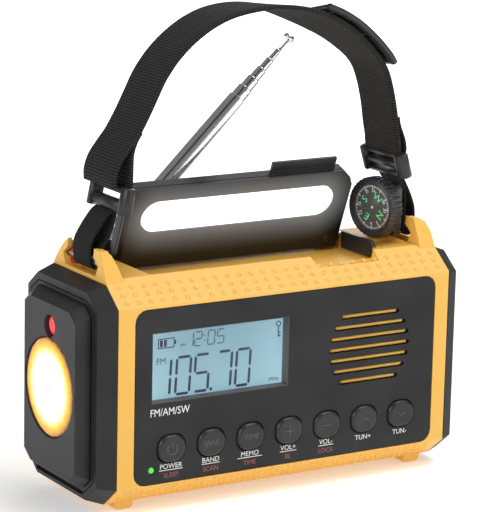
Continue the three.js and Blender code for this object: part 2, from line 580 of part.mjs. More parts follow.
// Grip spindle that folds about the ears' pivot; folded, it lies over the arm.
function gripPost() {
  const pivot = solid(new THREE.CylinderGeometry(1, 1, 10, 12).rotateX(Math.PI / 2)
    .translate(GRIP.x, GRIP.y, CRANK.z));
  const knuckle = solid(new THREE.CylinderGeometry(2.5, 2.5, 6.4, 16).rotateX(Math.PI / 2)
    .translate(GRIP.x, GRIP.y, CRANK.z));
  const spindle = cylinderX(1.6, GRIP.y, CRANK.z, GRIP.x, GRIP.x + 22.5, 12);
  const head = cylinderX(2.4, GRIP.y, CRANK.z, GRIP.x + 22.2, GRIP.x + 23.2, 12);
  return join(pivot, knuckle, spindle, head);
}
add('grip_post', gripPost(), STEEL);
add('grip_sleeve', latheX([[1.9, 4], [3.4, 4], [3.9, 5.5], [3.6, 12], [3.9, 20], [3.2, 21.8], [1.9, 21.8],
  [1.9, 4]].map(([r, a]) => [r, GRIP.x + a]), GRIP.y, CRANK.z, 20), BLACK);

// ---------------------------------------------------------------- flip-up lamp and solar cell
const lamp = new THREE.Group();
lamp.position.set(0, HINGE.y, HINGE.z);
lamp.rotation.x = rad(HINGE.lean);
radio.add(lamp);

// Front outline of the lamp in its own frame, shrunk by d.
function lampOutline(d) {
  const { x0, x1, low, high } = LAMP;
  const corner = (cx, cz, r, from, count) => Array.from({ length: count + 1 }, (_, k) => {
    const t = rad(from + 90 * k / count);
    return [cx + (r - d) * Math.cos(t), cz + (r - d) * Math.sin(t)];
  });
  return [
    ...corner(x1 - 1.6, low + 1.6, 1.6, 270, 2),
    [x1 - d, high - 6.5 - d * 0.4], [x1 - 1.6 - d * 0.8, high - 3.2 - d * 0.6], [x1 - 5 - d * 0.4, high - d],
    ...corner(x0 + 2.2, high - 2.2, 2.2, 90, 3),
    ...corner(x0 + 1.6, low + 1.6, 1.6, 180, 2),
  ];
}
const level = (points, y) => points.map(([x, z]) => new THREE.Vector3(x, y, z));
const hingeBore = cylinderX(1.8, 0, 0, -60, 60, 16);

function lampCase() {
  const body = loft([level(lampOutline(1.3), LAMP.front), level(lampOutline(0), LAMP.front + 1.5),
    level(lampOutline(0), SEAM - GAP / 2)]);
  const { x, z, w, h } = DIFFUSER;
  const window = prismY(roundedRect(x, z, w, h, h / 2 - 0.05, 8), -6, 1);
  const toe = prismX([[LAMP.front - 1, LAMP.low - 1], [LAMP.front + 1.4, LAMP.low - 1],
    [LAMP.front - 1, LAMP.low + 1.4]], -60, 60);
  const pocket = prismY(roundedRect(x, z, w + 4, h + 4, 2, 2), -2.7, 1);
  return cut(body, window, pocket, hingeBore, toe);
}
add('lamp_case', lampCase(), PANEL, lamp);
add('lamp_diffuser', prismY(roundedRect(DIFFUSER.x, DIFFUSER.z, DIFFUSER.w - 2 * GAP,
  DIFFUSER.h - 2 * GAP, DIFFUSER.h / 2 - 0.05 - GAP, 8), LAMP.front, -2.9), WHITE, lamp);
add('lamp_led_board', prismY(roundedRect(DIFFUSER.x, DIFFUSER.z, DIFFUSER.w + 3, DIFFUSER.h + 3, 2, 2),
  -2.4, -1.4), BOARD, lamp);

function solarFrame() {
  const body = prismY(lampOutline(0), SEAM + GAP / 2, LAMP.rear);
  const tab = box(TAB.x0, TAB.x1, TAB.y0, LAMP.rear, LAMP.high - 2, TAB.high);
  const heel = prismX([[LAMP.rear + 1, LAMP.low - 1], [LAMP.rear + 1, LAMP.low + 1.2],
    [LAMP.rear - 1.2, LAMP.low - 1]], -60, 60);
  const seat = box(CELL.x - CELL.w / 2, CELL.x + CELL.w / 2, LAMP.rear - 1.2, LAMP.rear + 1,
    CELL.z - CELL.h / 2, CELL.z + CELL.h / 2);
  return cut(join(body, tab), seat, hingeBore, heel);
}
add('solar_frame', solarFrame(), BLACK, lamp);
add('solar_cell', box(CELL.x - CELL.w / 2 + GAP, CELL.x + CELL.w / 2 - GAP, LAMP.rear - 0.9, LAMP.rear - 0.1,
  CELL.z - CELL.h / 2 + GAP, CELL.z + CELL.h / 2 - GAP), SOLAR, lamp);
add('lamp_hinge_rod', cylinderX(1.5, HINGE.y, HINGE.z, -56.1, 53.1, 16), STEEL);
add('lamp_side_rail', prismX([[20, 86], [21.8, 88.2], [42.6, 88.2], [42.6, 81.6], [23.5, 81.6], [20.6, 83.2]],
  50.3, 51.9), BLACK);

// ---------------------------------------------------------------- telescopic antenna
function antennaBase() {
  const cheek = (y0, y1) => join(cylinderY(5, ANTENNA.x, ANTENNA.z, y0, y1, 24),
    box(ANTENNA.x - 5, ANTENNA.x + 5, y0, y1, 82, ANTENNA.z));
  const below = box(ANTENNA.x - 9, ANTENNA.x + 9, 40, 60, 80, 83.9);
  const plate = box(ANTENNA.x - 5, ANTENNA.x + 5, 49.4, 56.2, 83.9, 84.7);
  const bore = cylinderY(1.5, ANTENNA.x, ANTENNA.z, 40, 60, 12);
  const cheeks = join(cheek(49.4, 50.7), cheek(54.9, 56.2));
  return join(cut(cheeks, below, bore), plate);
}
add('antenna_base', antennaBase(), BLACK);

const antenna = new THREE.Group();
antenna.position.set(ANTENNA.x, ANTENNA.y, ANTENNA.z);
antenna.rotation.y = -rad(ANTENNA.tilt);
radio.add(antenna);

// Tube k of the mast along the antenna's own X axis; each one slides in the one before.
function mastTube(k) {
  const r = TUBE.first - TUBE.step * (k - 1);
  const end = TUBE.mouth + TUBE.shown * (k - 1);
  if (k === 1) {
    const tongue = join(solid(new THREE.CylinderGeometry(2.6, 2.6, 3.4, 16)),
      box(0, 6.2, -1.7, 1.7, -2.4, 2.4));
    const pin = solid(new THREE.CylinderGeometry(1.2, 1.2, 6.8, 12));
    const body = cylinderX(r, 0, 0, 6, end, TUBE.sides);
    return cut(join(body, tongue, pin), cylinderX(r - TUBE.wall, 0, 0, 9, end + 1, TUBE.sides));
  }
  const start = end - TUBE.length;
  if (k === 7) {
    return join(cylinderX(r, 0, 0, start, end + 0.4, 10), cylinderX(2.4, 0, 0, end + 0.2, end + 2.6, 16));
  }
  return cut(cylinderX(r, 0, 0, start, end, TUBE.sides),
    cylinderX(r - TUBE.wall, 0, 0, start - 1, end + 1, TUBE.sides));
}
for (let k = 1; k <= 7; k += 1) add(`antenna_tube_${k}`, mastTube(k), CHROME, antenna);

// ---------------------------------------------------------------- strap and its fittings
for (const [name, end] of [['strap_bar_left', -1], ['strap_bar_right', 1]]) {
  add(name, cylinderY(BAR.r, end * BAR.x, BAR.z, 13.5, 46.5, 16), STEEL);
}

const swell = (u, centre, spread) => Math.exp(-(((u - centre) / spread) ** 2));
add('webbing', ribbon(WEBBING.path, WEBBING.width, WEBBING.thick, STRAP_MID, 40,
  (u) => WEBBING.twist * swell(u, 0.65, 0.12)), FABRIC);
add('webbing_tail', ribbon([[-57.6, 118.8], [-57.8, 122.5], [-57.7, 127], [-57.6, 132]], WEBBING.width, 1.4,
  STRAP_MID, 5), FABRIC);

// Narrow strap that runs down, round the bar and up again; end is -1 or 1.
function strapTab(end) {
  const turn = [];
  for (let a = 20; a >= -200; a -= 44) {
    turn.push([BAR.x + 2.5 * Math.cos(rad(a)), BAR.z + 2.5 * Math.sin(rad(a))]);
  }
  const { out, back } = end < 0 ? LEFT_TAB : RIGHT_TAB;
  return ribbon([...out, ...turn, ...back].map(([x, z]) => [end * x, z]), 13, 1.1, STRAP_MID, 40);
}
add('strap_tab_left', strapTab(-1), FABRIC);
add('strap_tab_right', strapTab(1), FABRIC);

// Ladder fitting: a round-edged plate along Y, leaning sideways, with a slot for each strap.
function ladderFitting({ x, z, w, h, r, lean, slots, slotHeight }) {
  const t = rad(lean);
  const place = ([a, b]) => [x + a * Math.cos(t) + b * Math.sin(t), z - a * Math.sin(t) + b * Math.cos(t)];
  const plate = prismY(roundedRect(0, 0, w, h, r, 4).map(place),
    STRAP_MID - FITTING_HALF, STRAP_MID + FITTING_HALF);
  const opening = (level) => [[-w, level - slotHeight / 2], [w, level - slotHeight / 2],
    [w, level + slotHeight / 2], [-w, level + slotHeight / 2]].map(place);
  return cut(plate, ...slots.map((level) => prismY(opening(level), STRAP_MID - 11.6, STRAP_MID + 11.6)));
}
add('left_buckle', ladderFitting(LEFT_BUCKLE), BLACK);
add('strap_adapter_right', ladderFitting(RIGHT_ADAPTER), BLACK);

// Bowed slider plate that rides on the webbing's outer face.
add('strap_slider', ribbon(SLIDER.path, SLIDER.width, SLIDER.thick, STRAP_MID, 8,
  (u) => SLIDER.twist + SLIDER.untwist * u), BLACK);

// ---------------------------------------------------------------- compass
const compass = new THREE.Group();
compass.position.set(53.4, 27.4, 100.1);
compass.rotation.z = rad(13.5);
radio.add(compass);

function compassCase() {
  const cup = latheX([[BEZEL.inner, 0], [BEZEL.r - 0.7, 0], [BEZEL.r, 0.8], [BEZEL.r, BEZEL.thick],
    [0, BEZEL.thick], [0, 2.8], [BEZEL.inner, 2.8], [BEZEL.inner, 0]], 0, 0, 36);
  const holder = box(BEZEL.thick - 0.3, BEZEL.thick + 3.6, -7.8, 7.8, -11, 9);
  return join(cup, holder);
}
add('compass_case', compassCase(), COMPASS_BLACK, compass);
add('compass_card', latheX([[0, 1.3], [9.2, 1.3], [9.2, 2.2], [0, 2.2]], 0, 0, 32), COMPASS_BLACK, compass);

export default radio;
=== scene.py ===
"""Looks of the emergency radio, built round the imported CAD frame.

Metres, in the row frame. Numbers in the tables below are millimetres in the CAD source's axes,
and at() turns them into the row frame.
"""

import json
from itertools import product
from math import cos, exp, pi, radians, sin, sqrt

import bmesh
import bpy
from mathutils import Matrix, Vector

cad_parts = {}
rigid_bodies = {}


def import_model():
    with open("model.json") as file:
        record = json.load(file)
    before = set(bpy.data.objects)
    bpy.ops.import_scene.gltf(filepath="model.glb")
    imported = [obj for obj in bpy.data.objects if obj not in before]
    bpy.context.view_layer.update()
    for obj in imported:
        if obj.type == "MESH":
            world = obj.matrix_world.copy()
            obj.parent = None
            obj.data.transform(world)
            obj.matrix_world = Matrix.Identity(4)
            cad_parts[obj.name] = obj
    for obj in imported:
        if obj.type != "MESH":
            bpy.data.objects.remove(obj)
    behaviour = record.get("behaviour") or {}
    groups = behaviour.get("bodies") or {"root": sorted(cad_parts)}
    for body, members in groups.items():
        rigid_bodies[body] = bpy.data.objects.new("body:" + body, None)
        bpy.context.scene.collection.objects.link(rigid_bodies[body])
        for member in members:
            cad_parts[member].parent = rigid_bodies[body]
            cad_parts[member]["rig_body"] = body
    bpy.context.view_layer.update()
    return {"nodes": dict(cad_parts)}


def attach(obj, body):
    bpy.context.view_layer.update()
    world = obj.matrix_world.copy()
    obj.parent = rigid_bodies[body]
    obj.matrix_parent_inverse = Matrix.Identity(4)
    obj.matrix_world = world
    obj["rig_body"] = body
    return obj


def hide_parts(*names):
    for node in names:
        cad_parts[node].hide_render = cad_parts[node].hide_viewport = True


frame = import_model()
scene = bpy.context.scene
link = scene.collection.objects.link

MM = 0.001
ORIGIN = Vector((-4.775, 29.35, 0.0))  # origin of the row frame, in the CAD source's axes
STRAP_MID = 30.0  # depth of the strap's middle

# Camera: its place in the row frame, and its azimuth, elevation and roll in degrees.
CAMERA_PLACE = Vector((-502.6, -821.85, 303.0))
CAMERA_ANGLES = (31.47, 12.69, 1.27)
CAMERA_LENS = 182.5

# Soft boxes, in metres and watts: name, place, target, size and power.
SOFT_BOXES = (
    ("key", (-1.3, -0.55, 0.75), (0, 0, 0.08), (0.9, 0.9), 11.5),
    ("fill", (0.9, -1.4, 0.5), (0, 0, 0.08), (1.2, 0.8), 4.2),
    ("top", (0.42, -0.3, 1.15), (0, 0, 0.06), (0.9, 0.7), 9.5),
    ("rim", (0.9, 0.9, 0.7), (0, 0, 0.1), (0.7, 0.7), 5),
)
SURROUNDINGS_GIVE, SURROUNDINGS_SHOW = 0.2, 1.05  # light they cast, and how bright they look
FLOOR_HALF, FLOOR_DROP = 3.0, 0.0004


def at(x, y, z):
    """A point of the CAD source's axes, in the row frame."""
    return (Vector((x, y, z)) - ORIGIN) * MM


# ---- camera, light and floor
def add_camera():
    azimuth, elevation, roll = (radians(angle) for angle in CAMERA_ANGLES)
    flat = cos(elevation)
    forward = Vector((sin(azimuth) * flat, cos(azimuth) * flat, -sin(elevation)))
    level = Vector((cos(azimuth), -sin(azimuth), 0))
    upright = level.cross(forward)
    right = cos(roll) * level + sin(roll) * upright
    up = right.cross(forward)
    data = bpy.data.cameras.new("camera")
    data.lens = CAMERA_LENS
    data.clip_start, data.clip_end = 0.05, 20
    camera = bpy.data.objects.new("camera", data)
    turn = Matrix((right, up, -forward)).transposed().to_4x4()
    camera.matrix_world = Matrix.Translation(CAMERA_PLACE * MM) @ turn
    link(camera)
    scene.camera = camera


def add_soft_box(name, place, target, size, power):
    data = bpy.data.lights.new(name, "AREA")
    data.shape = "RECTANGLE"
    data.size, data.size_y = size
    data.energy = power
    lamp = bpy.data.objects.new(name, data)
    lamp.location = place
    lamp.rotation_mode = "QUATERNION"
    lamp.rotation_quaternion = (Vector(target) - Vector(place)).to_track_quat("-Z", "Y")
    link(lamp)


def add_surroundings():
    """White surroundings that look brighter than the light they cast."""
    world = bpy.data.worlds.new("studio")
    world.use_nodes = True
    scene.world = world
    tree = world.node_tree
    background = tree.nodes["Background"]
    background.inputs["Color"].default_value = (1, 1, 1, 1)
    path = tree.nodes.new("ShaderNodeLightPath")
    level = tree.nodes.new("ShaderNodeMapRange")
    level.inputs["To Min"].default_value = SURROUNDINGS_GIVE
    level.inputs["To Max"].default_value = SURROUNDINGS_SHOW
    tree.links.new(path.outputs["Is Camera Ray"], level.inputs["Value"])
    tree.links.new(level.outputs["Result"], background.inputs["Strength"])


def add_floor():
    """Pale floor that glows more the farther it is, so that it meets the white behind it."""
    mesh = bpy.data.meshes.new("floor")
    corners = ((-1, -1), (1, -1), (1, 1), (-1, 1))
    mesh.from_pydata([(x * FLOOR_HALF, y * FLOOR_HALF, 0) for x, y in corners], [], [(0, 1, 2, 3)])
    floor = bpy.data.objects.new("floor", mesh)
    floor.location.z = -FLOOR_DROP
    net = Net("studio_floor", (0.93, 0.93, 0.93), 0.9)
    net.mottle(net.noise(3.0), (0.93, 0.93, 0.93), (0.95, 0.95, 0.95))
    x, y, _ = net.split()
    net.glow((1, 1, 1, 1), net.spread(net.distance(x, y), 0.3, 1.0, 0.35, 1.1))
    mesh.materials.append(net.material)
    link(floor)


def add_studio():
    add_surroundings()
    for soft_box in SOFT_BOXES:
        add_soft_box(*soft_box)
    scene.view_settings.view_transform = "Standard"
    add_floor()


# ---- materials
class Net:
    """A material's node tree, with short ways to add the nodes used here."""

    def __init__(self, name, colour, roughness, metallic=0.0, shine=0.5, **sockets):
        self.material = bpy.data.materials.new(name)
        self.material.use_nodes = True
        self.tree = self.material.node_tree
        self.shader = self.tree.nodes["Principled BSDF"]
        self.set("Base Color", (*colour, 1))
        self.set("Roughness", roughness)
        self.set("Metallic", metallic)
        self.set("Specular IOR Level", shine)
        for socket, value in sockets.items():
            self.set(socket.replace("_", " "), value)
        self.place = self.add("ShaderNodeTexCoord").outputs["Object"]

    def set(self, socket, value, node=None):
        target = (node or self.shader).inputs[socket]
        if isinstance(value, bpy.types.NodeSocket):
            self.tree.links.new(value, target)
        else:
            target.default_value = value

    def add(self, kind, inputs=None, **settings):
        node = self.tree.nodes.new(kind)
        for key, value in settings.items():
            setattr(node, key, value)
        for socket, value in (inputs or {}).items():
            self.set(socket, value, node)
        return node

    def noise(self, scale, detail=2.0, place=None):
        inputs = {"Vector": place or self.place, "Scale": scale, "Detail": detail}
        return self.add("ShaderNodeTexNoise", inputs).outputs["Fac"]

    def math(self, operation, *values):
        inputs = dict(enumerate(values))
        return self.add("ShaderNodeMath", inputs, operation=operation).outputs[0]

    def times(self, a, b):
        return self.math("MULTIPLY", a, b)

    def distance(self, a, b):
        """Length of the diagonal of two sides at right angles."""
        squares = (self.math("POWER", side, 2.0) for side in (a, b))
        return self.math("SQRT", self.math("ADD", *squares))

    def spread(self, value, low, high, start=0.0, end=1.0):
        inputs = {"Value": value, "From Min": start, "From Max": end, "To Min": low, "To Max": high}
        return self.add("ShaderNodeMapRange", inputs).outputs["Result"]

    def tint(self, fac, first, second):
        node = self.add("ShaderNodeMix", data_type="RGBA")
        self.set(0, fac, node)
        self.set(6, first if isinstance(first, bpy.types.NodeSocket) else (*first, 1), node)
        self.set(7, second if isinstance(second, bpy.types.NodeSocket) else (*second, 1), node)
        return node.outputs[2]

    def mottle(self, fac, first, second):
        self.set("Base Color", self.tint(fac, first, second))

    def gloss(self, *values):
        """Uneven roughness; the values are spread's."""
        self.set("Roughness", self.spread(*values))

    def glow(self, colour, strength):
        self.set("Emission Color", colour)
        self.set("Emission Strength", strength)

    def ramp(self, fac, stops):
        node = self.add("ShaderNodeValToRGB", {"Fac": fac})
        elements = node.color_ramp.elements
        while len(elements) < len(stops):
            elements.new(1.0)
        for element, (position, colour) in zip(elements, stops):
            element.position = position
            element.color = (*colour, 1)
        return node.outputs["Color"]

    def bump(self, height, distance):
        node = self.add("ShaderNodeBump", {"Height": height, "Distance": distance, "Strength": 1.0})
        self.set("Normal", node.outputs["Normal"])

    def split(self, vector=None):
        node = self.add("ShaderNodeSeparateXYZ", {"Vector": vector or self.place})
        return node.outputs["X"], node.outputs["Y"], node.outputs["Z"]

    def shifted(self, centre, scale=(1, 1, 1), turn=(0, 0, 0)):
        """Object coordinates about a centre, turned and then scaled."""
        moved = self.add("ShaderNodeVectorMath", {0: self.place, 1: tuple(-c for c in centre)})
        inputs = {"Vector": moved.outputs[0], "Scale": scale, "Rotation": turn}
        return self.add("ShaderNodeMapping", inputs).outputs["Vector"]


def mix(colour, share, other=(1, 1, 1)):
    """A colour moved by a share of the way to another one."""
    return tuple(c + (o - c) * share for c, o in zip(colour, other))


def plastic(name, colour, roughness, grain=0.00002, scale=2600.0, mottle=0.06, **sockets):
    """Moulded plastic: spark-eroded grain, faint flow marks and uneven gloss."""
    net = Net(name, colour, roughness, **sockets)
    flow = net.noise(38.0, 4.0)
    net.mottle(flow, mix(colour, mottle, (0, 0, 0)), mix(colour, mottle * 0.6))
    net.gloss(net.noise(180.0, 3.0), roughness * 0.86, roughness * 1.14)
    net.bump(net.noise(scale, 2.0), grain)
    return net.material


def metal(name, colour, roughness, brushed=(1, 1, 1)):
    """Bare metal; brushed is the stretch of its fine lines along each axis."""
    net = Net(name, colour, roughness, 1.0)
    place = net.shifted((0, 0, 0), brushed)
    lines = net.noise(900.0, 3.0, place)
    net.mottle(net.noise(60.0), mix(colour, 0.08, (0, 0, 0)), colour)
    net.gloss(lines, roughness * 0.7, roughness * 1.4)
    net.bump(lines, 0.000004)
    return net.material


def woven(name, colour, rib, across):
    """Ribbed webbing: ribs run across the band, each with its diagonal yarns; both widths in metres."""
    net = Net(name, colour, 0.82, Sheen_Weight=0.02, Sheen_Roughness=0.5, shine=0.12)
    uv = net.add("ShaderNodeUVMap", uv_map="band").outputs["UV"]
    along, side, _ = net.split(uv)
    ribs = net.math("SINE", net.times(along, 2 * pi / rib))
    slanted = net.math("ADD", side, net.times(ribs, across * 0.2))
    yarns = net.math("SINE", net.times(slanted, 2 * pi / across))
    height = net.math("ADD", ribs, net.times(yarns, 0.55))
    fuzz = net.noise(1800.0, 3.0)
    height = net.math("ADD", height, net.times(fuzz, 0.8))
    # Painted shade: the colour is darker where the weave is low, in the hollows between ribs and yarns, with
    # random fuzz on top.
    shade = net.spread(height, 0.0, 1.0, -1.2, 1.8)
    net.mottle(shade, mix(colour, 0.55, (0, 0, 0)), mix(colour, 0.035))
    net.gloss(fuzz, 0.7, 0.95)
    net.bump(height, 0.00016)
    return net.material


def glass(name, colour, alpha):
    net = Net(name, colour, 0.06, IOR=1.49, Alpha=alpha)
    net.gloss(net.noise(25.0), 0.04, 0.1)
    net.bump(net.noise(60.0), 0.000004)
    return net.material


YELLOW = plastic("yellow_abs", (0.87, 0.48, 0.07), 0.46, 0.000016, 2300.0, 0.05)
BLACK = plastic("black_abs", (0.010, 0.010, 0.011), 0.34, 0.000012, shine=0.35)
CAP_BLACK = plastic("cap_black", (0.0085, 0.0085, 0.009), 0.40, 0.000014, shine=0.2)
PAD_GREY = plastic("cover_grey", (0.0085, 0.0085, 0.009), 0.38, 0.000014, shine=0.2)
PANEL_GREY = plastic("panel_charcoal", (0.0095, 0.0095, 0.01), 0.48, 0.00002, shine=0.17)
KEY_BLACK = plastic("key_black", (0.0075, 0.0075, 0.008), 0.28, 0.000008, shine=0.34)
RUBBER = plastic("silicone_rubber", (0.012, 0.012, 0.0125), 0.7, 0.00002, shine=0.3)
NATURAL = plastic("acetal", (0.78, 0.78, 0.74), 0.42, 0.00001)
CHROME = metal("chrome_plate", (0.86, 0.86, 0.88), 0.07)
ANTENNA_CHROME = metal("antenna_chrome", (0.88, 0.88, 0.9), 0.2)
STEEL = metal("plain_steel", (0.5, 0.5, 0.52), 0.3, (0.1, 1, 1))
CLEAR = glass("clear_polycarbonate", (0.7, 0.75, 0.78), 0.04)
BOARD = plastic("solder_mask", (0.012, 0.14, 0.04), 0.3, 0.00004, 700.0, 0.3)
CELL_WRAP = plastic("cell_sleeve", (0.03, 0.22, 0.42), 0.28, 0.00001)
WEBBING = woven("ribbed_webbing", (0.0045, 0.0045, 0.005), 0.0011, 0.0010)
NARROW = woven("narrow_strap", (0.0055, 0.0055, 0.006), 0.0007, 0.0008)
COMPASS_BLACK = plastic("compass_black", (0.010, 0.010, 0.011), 0.25, 0.00001)
PRINT_WHITE = plastic("white_print", (0.85, 0.85, 0.85), 0.5, 0.000004)
ICON = plastic("key_mark", (0.075, 0.075, 0.08), 0.42, 0.000004)
PRINT_RED = plastic("red_print", (0.30, 0.075, 0.05), 0.5, 0.000004)
SURROUND = plastic("display_surround", (0.075, 0.070, 0.072), 0.5, 0.00001)
DARK_RED = plastic("dark_red", (0.36, 0.003, 0.003), 0.6, shine=0.12)


def lit(name, colour, strength, roughness=0.3):
    """A glowing part, a little uneven in brightness: a translucent part with a lamp behind it, and also the
    compass letters, whose glow is painted light.
    """
    net = Net(name, mix(colour, 0.1), roughness)
    glow = net.tint(net.noise(400.0), mix(colour, 0.08, (0, 0, 0)), colour)
    net.glow(glow, strength)
    net.gloss(net.noise(300.0), roughness * 0.8, roughness * 1.2)
    return net.material


GREEN_LED = lit("green_led", (0.01, 0.50, 0.02), 0.5)
RED_LENS = lit("red_lens", (0.80, 0.0, 0.008), 0.85, 0.6)
# The compass letters have no lamp behind them: this green glow is painted light that makes the print look
# bright.
DIAL_GREEN_PAINTED_GLOW = lit("dial_green_painted_glow", (0.02, 0.48, 0.13), 0.6)
DIFFUSER = lit("opal_diffuser", (1.0, 1.0, 1.0), 1.25)


TORCH_MIDDLE = at(-86.8, 27.4, 45.1)
TORCH_RADIUS = 18.6


def torch_glow():
    """Lit torch lens: a white heart that turns yellow and then orange at the rim."""
    net = Net("torch_glow", (0.9, 0.6, 0.2), 0.18)
    to_rim = 1 / (TORCH_RADIUS * MM)
    spot = net.shifted(TORCH_MIDDLE, (0, to_rim, to_rim))
    radius = net.add("ShaderNodeVectorMath", {0: spot}, operation="LENGTH").outputs["Value"]
    streaks = net.noise(5.0, 3.0, spot)
    radius = net.math("ADD", radius, net.spread(streaks, -0.05, 0.05))
    stops = [(0.0, (0.80, 0.74, 0.95)), (0.25, (0.93, 0.90, 1.0)), (0.40, (1.0, 1.0, 1.0))]
    stops += [(0.66, (1.0, 1.0, 0.92)), (0.74, (1.0, 0.90, 0.34)), (0.82, (1.0, 0.66, 0.03))]
    stops += [(0.90, (0.88, 0.40, 0.015)), (0.96, (0.60, 0.25, 0.03)), (1.0, (0.10, 0.045, 0.02))]
    colours = net.ramp(radius, stops)
    net.mottle(0.9, colours, (0, 0, 0))
    net.glow(colours, 0.97)
    net.bump(streaks, 0.0001)
    return net.material


def display_glow():
    """Back-lit display: pale cyan, brighter at the edges where the lamps sit."""
    net = Net("display_glow", (0.35, 0.55, 0.62), 0.35)
    half_width, half_height = 0.0295, 0.0133
    spot = net.shifted(at(-29.2, 4.5, 55.05), (1 / half_width, 0, 1 / half_height))
    x, _, z = net.split(spot)
    edge = net.math("POWER", net.math("ABSOLUTE", x), 3.0)
    low = net.spread(z, 0.6, 0.0, -1.0, 0.6)
    fac = net.math("ADD", net.times(edge, 0.55), net.times(low, 0.5))
    stops = [(0.0, (0.185, 0.35, 0.43)), (0.5, (0.28, 0.50, 0.58)), (1.0, (0.44, 0.70, 0.78))]
    colours = net.ramp(fac, stops)
    net.mottle(0.85, colours, (0, 0, 0))
    net.glow(colours, 0.92)
    net.bump(net.noise(900.0), 0.000005)
    return net.material


def solar_surface():
    """Solar laminate: dark blue strips under glass with thin silver fingers."""
    net = Net("solar_laminate", (0.01, 0.015, 0.05), 0.14, Coat_Weight=0.6, Coat_Roughness=0.05)
    x, _, z = net.split()
    strip_pitch, finger_pitch = 0.0114, 0.0022
    strip = net.math("ABSOLUTE", net.math("SINE", net.times(x, pi / strip_pitch)))
    finger = net.math("ABSOLUTE", net.math("SINE", net.times(z, pi / finger_pitch)))
    lines = net.math("MAXIMUM", net.math("LESS_THAN", strip, 0.08), net.math("LESS_THAN", finger, 0.12))
    flakes = net.tint(net.noise(160.0, 1.0), (0.006, 0.010, 0.035), (0.016, 0.026, 0.075))
    net.mottle(lines, flakes, (0.25, 0.27, 0.30))
    net.bump(net.noise(400.0), 0.000006)
    return net.material


# The lamp's own axes start at its hinge and lean back with it; its window is a round-ended slot.
HINGE = at(0, 44.8, 85.9)
LEAN_ANGLE = radians(21.5)
LEAN = Matrix.Rotation(LEAN_ANGLE, 4, "X")
LAMP_FACE = -4.0
OPAL_X, OPAL_Z = -2.55, 20.4
OPAL_WIDTH, OPAL_HEIGHT = 84.8, 13.2


def on_lamp(x, y, z):
    """A point of the lamp's own axes, in the row frame."""
    return HINGE + (LEAN @ Vector((x, y, z))) * MM


def lamp_shell_painted_glow():
    """Glossy black case with a painted glow round its opal window: painted light standing in for the lamp's
    light on the case.
    """
    net = Net("lamp_shell_painted_glow", (0.007, 0.007, 0.008), 0.3, shine=0.35)
    spot = net.shifted(on_lamp(OPAL_X, LAMP_FACE, OPAL_Z), (1 / MM, 1 / MM, 1 / MM), (-LEAN_ANGLE, 0, 0))
    x, depth, z = net.split(spot)
    straight = (OPAL_WIDTH - OPAL_HEIGHT) / 2
    past_end = net.math("MAXIMUM", net.math("SUBTRACT", net.math("ABSOLUTE", x), straight), 0.0)
    # Painted glow: white light painted on the case, strongest at the window's edge, gone about 12 mm out, and
    # only near the front face.
    painted_glow_fade = net.math("POWER", net.spread(net.distance(past_end, z), 1.0, 0.0, 6.9, 19.0), 1.6)
    painted_glow_near_face = net.spread(depth, 1.0, 0.0, 0.9, 2.6)
    net.mottle(net.noise(38.0, 4.0), (0.006, 0.006, 0.0065), (0.009, 0.009, 0.0095))
    net.gloss(net.noise(180.0, 3.0), 0.26, 0.34)
    net.glow((1, 1, 1, 1), net.times(net.times(painted_glow_fade, painted_glow_near_face), 0.16))
    net.bump(net.noise(2600.0), 0.00001)
    return net.material


LAMP_SHELL_PAINTED_GLOW = lamp_shell_painted_glow()
TORCH_GLOW = torch_glow()
DISPLAY = display_glow()
SEGMENTS = plastic("display_segments", (0.002, 0.014, 0.07), 0.6, 0.000003, shine=0.05)
SEGMENTS_PALE = plastic("display_segments_pale", (0.025, 0.08, 0.13), 0.6, 0.000003, shine=0.05)
SOLAR = solar_surface()


# ---- pieces
def place_piece(name, mesh, material, body="housing", slot=None, stands_for=(), smooth=True):
    """Adds a finished piece that rides on a body and stands for some CAD nodes."""
    mesh.materials.clear()
    mesh.materials.append(material)
    if smooth:
        mesh.shade_smooth()
    piece = bpy.data.objects.new(name, mesh)
    link(piece)
    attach(piece, body)
    if stands_for:
        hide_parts(*stands_for)
    return piece


def body_of(node):
    return frame["nodes"][node]["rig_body"]


def mesh_from(name, build):
    """A mesh filled by a function that draws into a bmesh."""
    bm = bmesh.new()
    build(bm)
    bmesh.ops.recalc_face_normals(bm, faces=bm.faces)
    mesh = bpy.data.meshes.new(name)
    bm.to_mesh(mesh)
    bm.free()
    return mesh


def drawn(name, build, *settings, **more):
    """Places a piece from the function that draws it."""
    return place_piece(name, mesh_from(name, build), *settings, **more)


def bevel(piece, width, segments=2, angle=30.0):
    """Rounds the edges that turn by more than an angle, and keeps the flat faces flat."""
    modifier = piece.modifiers.new("edges", "BEVEL")
    modifier.width = width * MM
    modifier.segments = segments
    modifier.limit_method = "ANGLE"
    modifier.angle_limit = radians(angle)
    modifier.use_clamp_overlap = True
    modifier.loop_slide = False
    weighted = piece.modifiers.new("normals", "WEIGHTED_NORMAL")
    weighted.keep_sharp = False
    weighted.weight = 90


def refined(node, material, slot, width=0.3, segments=2, angle=30.0):
    """A crisp copy of a CAD node: corners merged, flat faces joined and edges rounded."""

    def build(bm):
        bm.from_mesh(frame["nodes"][node].data)
        bmesh.ops.remove_doubles(bm, verts=bm.verts, dist=0.000004)
        bmesh.ops.dissolve_limit(bm, angle_limit=radians(0.7), verts=bm.verts, edges=bm.edges)
        bmesh.ops.dissolve_degenerate(bm, edges=bm.edges, dist=0.00002)

    piece = drawn(node + "_skin", build, material, body_of(node), slot, [node])
    bevel(piece, width, segments, angle)


def paint(node, material):
    """Gives a CAD node that keeps its shape its finish."""
    mesh = frame["nodes"][node].data
    mesh.materials.clear()
    mesh.materials.append(material)


